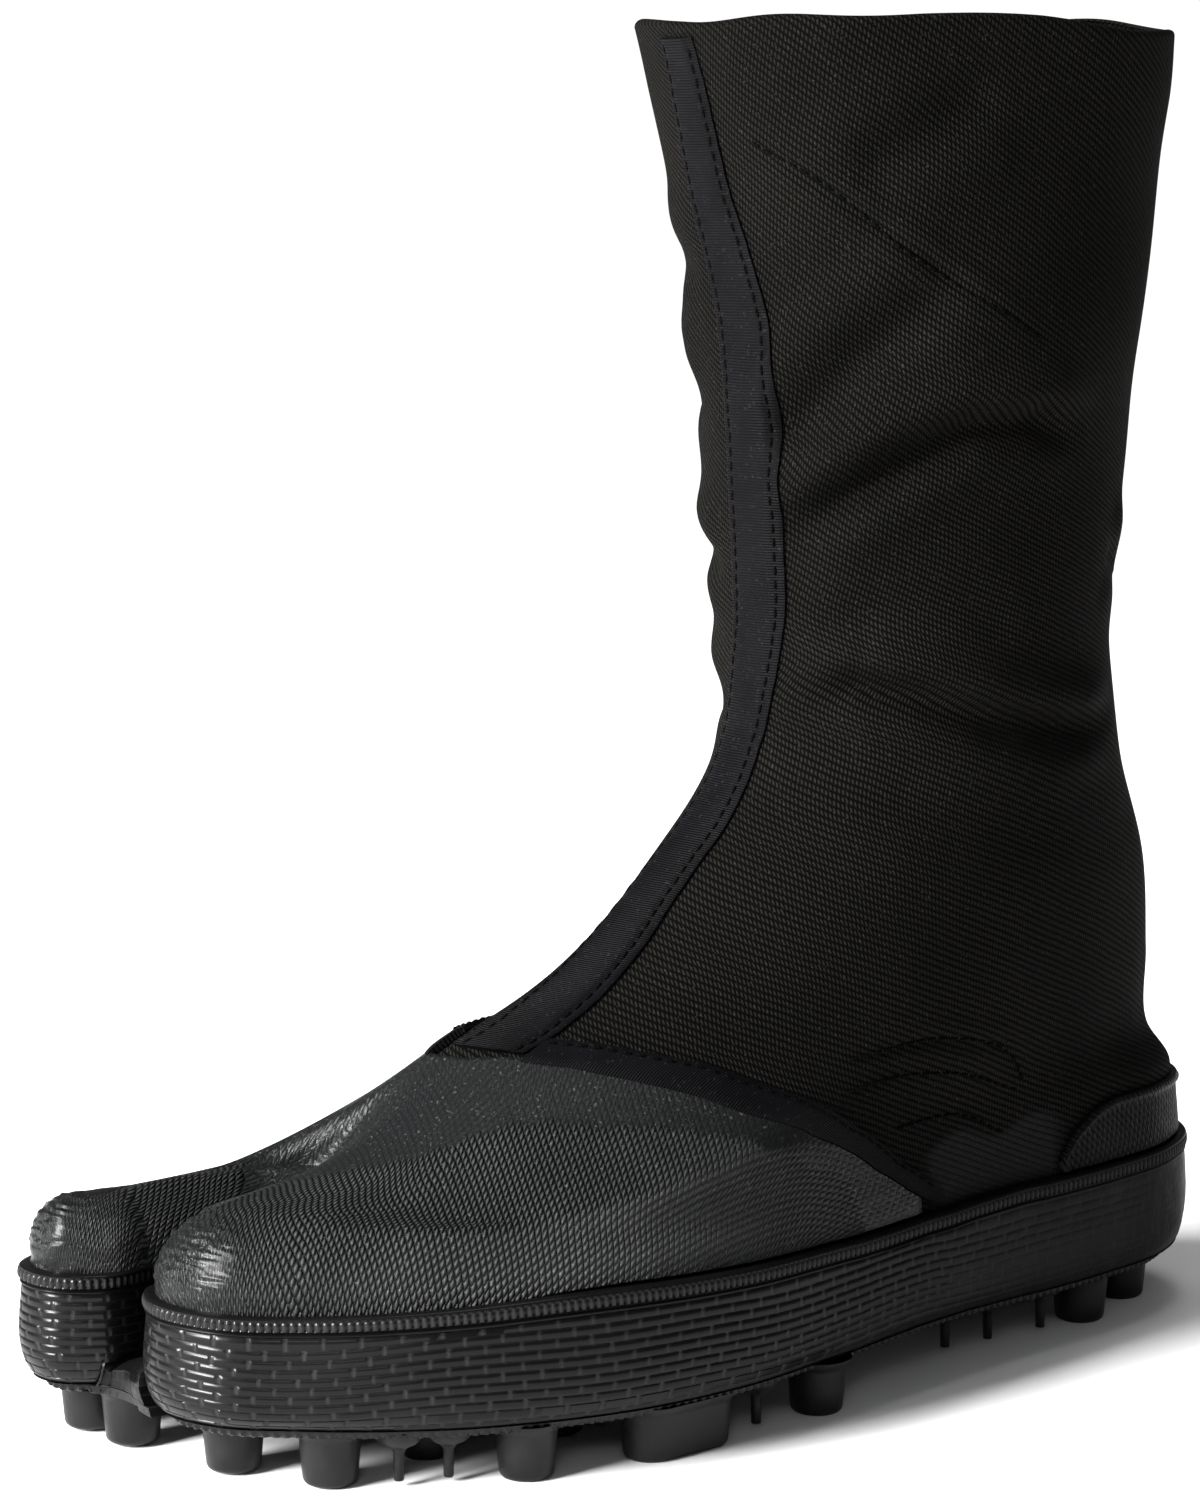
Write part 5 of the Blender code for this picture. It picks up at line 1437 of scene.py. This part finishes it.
def buildStage():
    side = stageSet["half"]
    points = np.array([(-side, -side, 0), (side, -side, 0), (side, side, 0), (-side, side, 0)])
    ground, _ = newMaterial("pale floor", stageSet["floor"], 0.9, 0.1)
    floor = makeMesh("floor", points - shift, [np.array([[0, 1, 2, 3]])],
                     [np.zeros((1, 4, 2))], ground)
    world = bpy.data.worlds.new("studio")
    world.use_nodes = True
    tree = world.node_tree
    either = tree.nodes.new("ShaderNodeMixShader")
    seen = tree.nodes.new("ShaderNodeLightPath")
    tree.links.new(seen.outputs["Is Camera Ray"], either.inputs[0])
    for slot, node, name in ((1, tree.nodes["Background"], "room"),
                             (2, tree.nodes.new("ShaderNodeBackground"), "backdrop")):
        node.inputs["Color"].default_value = (1.0, 1.0, 1.0, 1.0)
        node.inputs["Strength"].default_value = stageSet[name]
        tree.links.new(node.outputs[0], either.inputs[slot])
    tree.links.new(either.outputs[0], tree.nodes["World Output"].inputs["Surface"])
    bpy.context.scene.world = world
    bpy.context.scene.view_settings.view_transform = "Standard"


lamps = {
    "toe side": ((-0.10, -1.5, 0.60), 0.5, 85.0),
    "camera side": ((1.3, -1.3, 1.0), 0.35, 2.6),
    "high": ((0.0, 0.2, 1.7), 0.5, 5.0),
}
lampAim = (0.0, 0.0, 0.1)   # the boot's ankle, roughly
sunSet = {"towards": (-0.22, -0.72, 0.66), "strength": 5.0, "angle": 22.0}


def addLamp(name, kind, energy, away, place=(0.0, 0.0, 0.0)):
    # A lamp at a place that shines against the direction away
    data = bpy.data.lights.new(name, kind)
    data.energy = energy
    lamp = bpy.data.objects.new(name, data)
    bpy.context.scene.collection.objects.link(lamp)
    lamp.location = place
    x, y, z = away
    lamp.rotation_euler = (np.arctan2(np.hypot(x, y), z), 0.0, np.arctan2(-y, -x) - pi / 2)
    return data


def buildLights():
    sun = addLamp("window", "SUN", sunSet["strength"], sunSet["towards"])
    sun.angle = radians(sunSet["angle"])
    for name, (place, size, power) in lamps.items():
        lamp = addLamp(name, "AREA", power, np.array(place) - lampAim, place)
        lamp.shape = "SQUARE"
        lamp.size = size


def buildCamera():
    turn = radians(viewSet["azimuth"])
    away = np.array([sin(turn), -cos(turn)]) * viewSet["distance"]
    place = np.array(viewSet["aim"]) + away + shift[:2]
    data = bpy.data.cameras.new("camera")
    data.lens = viewSet["lens"]
    data.sensor_width = 36.0
    camera = bpy.data.objects.new("camera", data)
    bpy.context.scene.collection.objects.link(camera)
    camera.location = (place[0], place[1], viewSet["height"])
    camera.rotation_euler = (radians(90 - viewSet["down"]), 0.0, turn)
    bpy.context.scene.camera = camera


buildStage()
buildLights()
buildCamera()
print("stage ready")
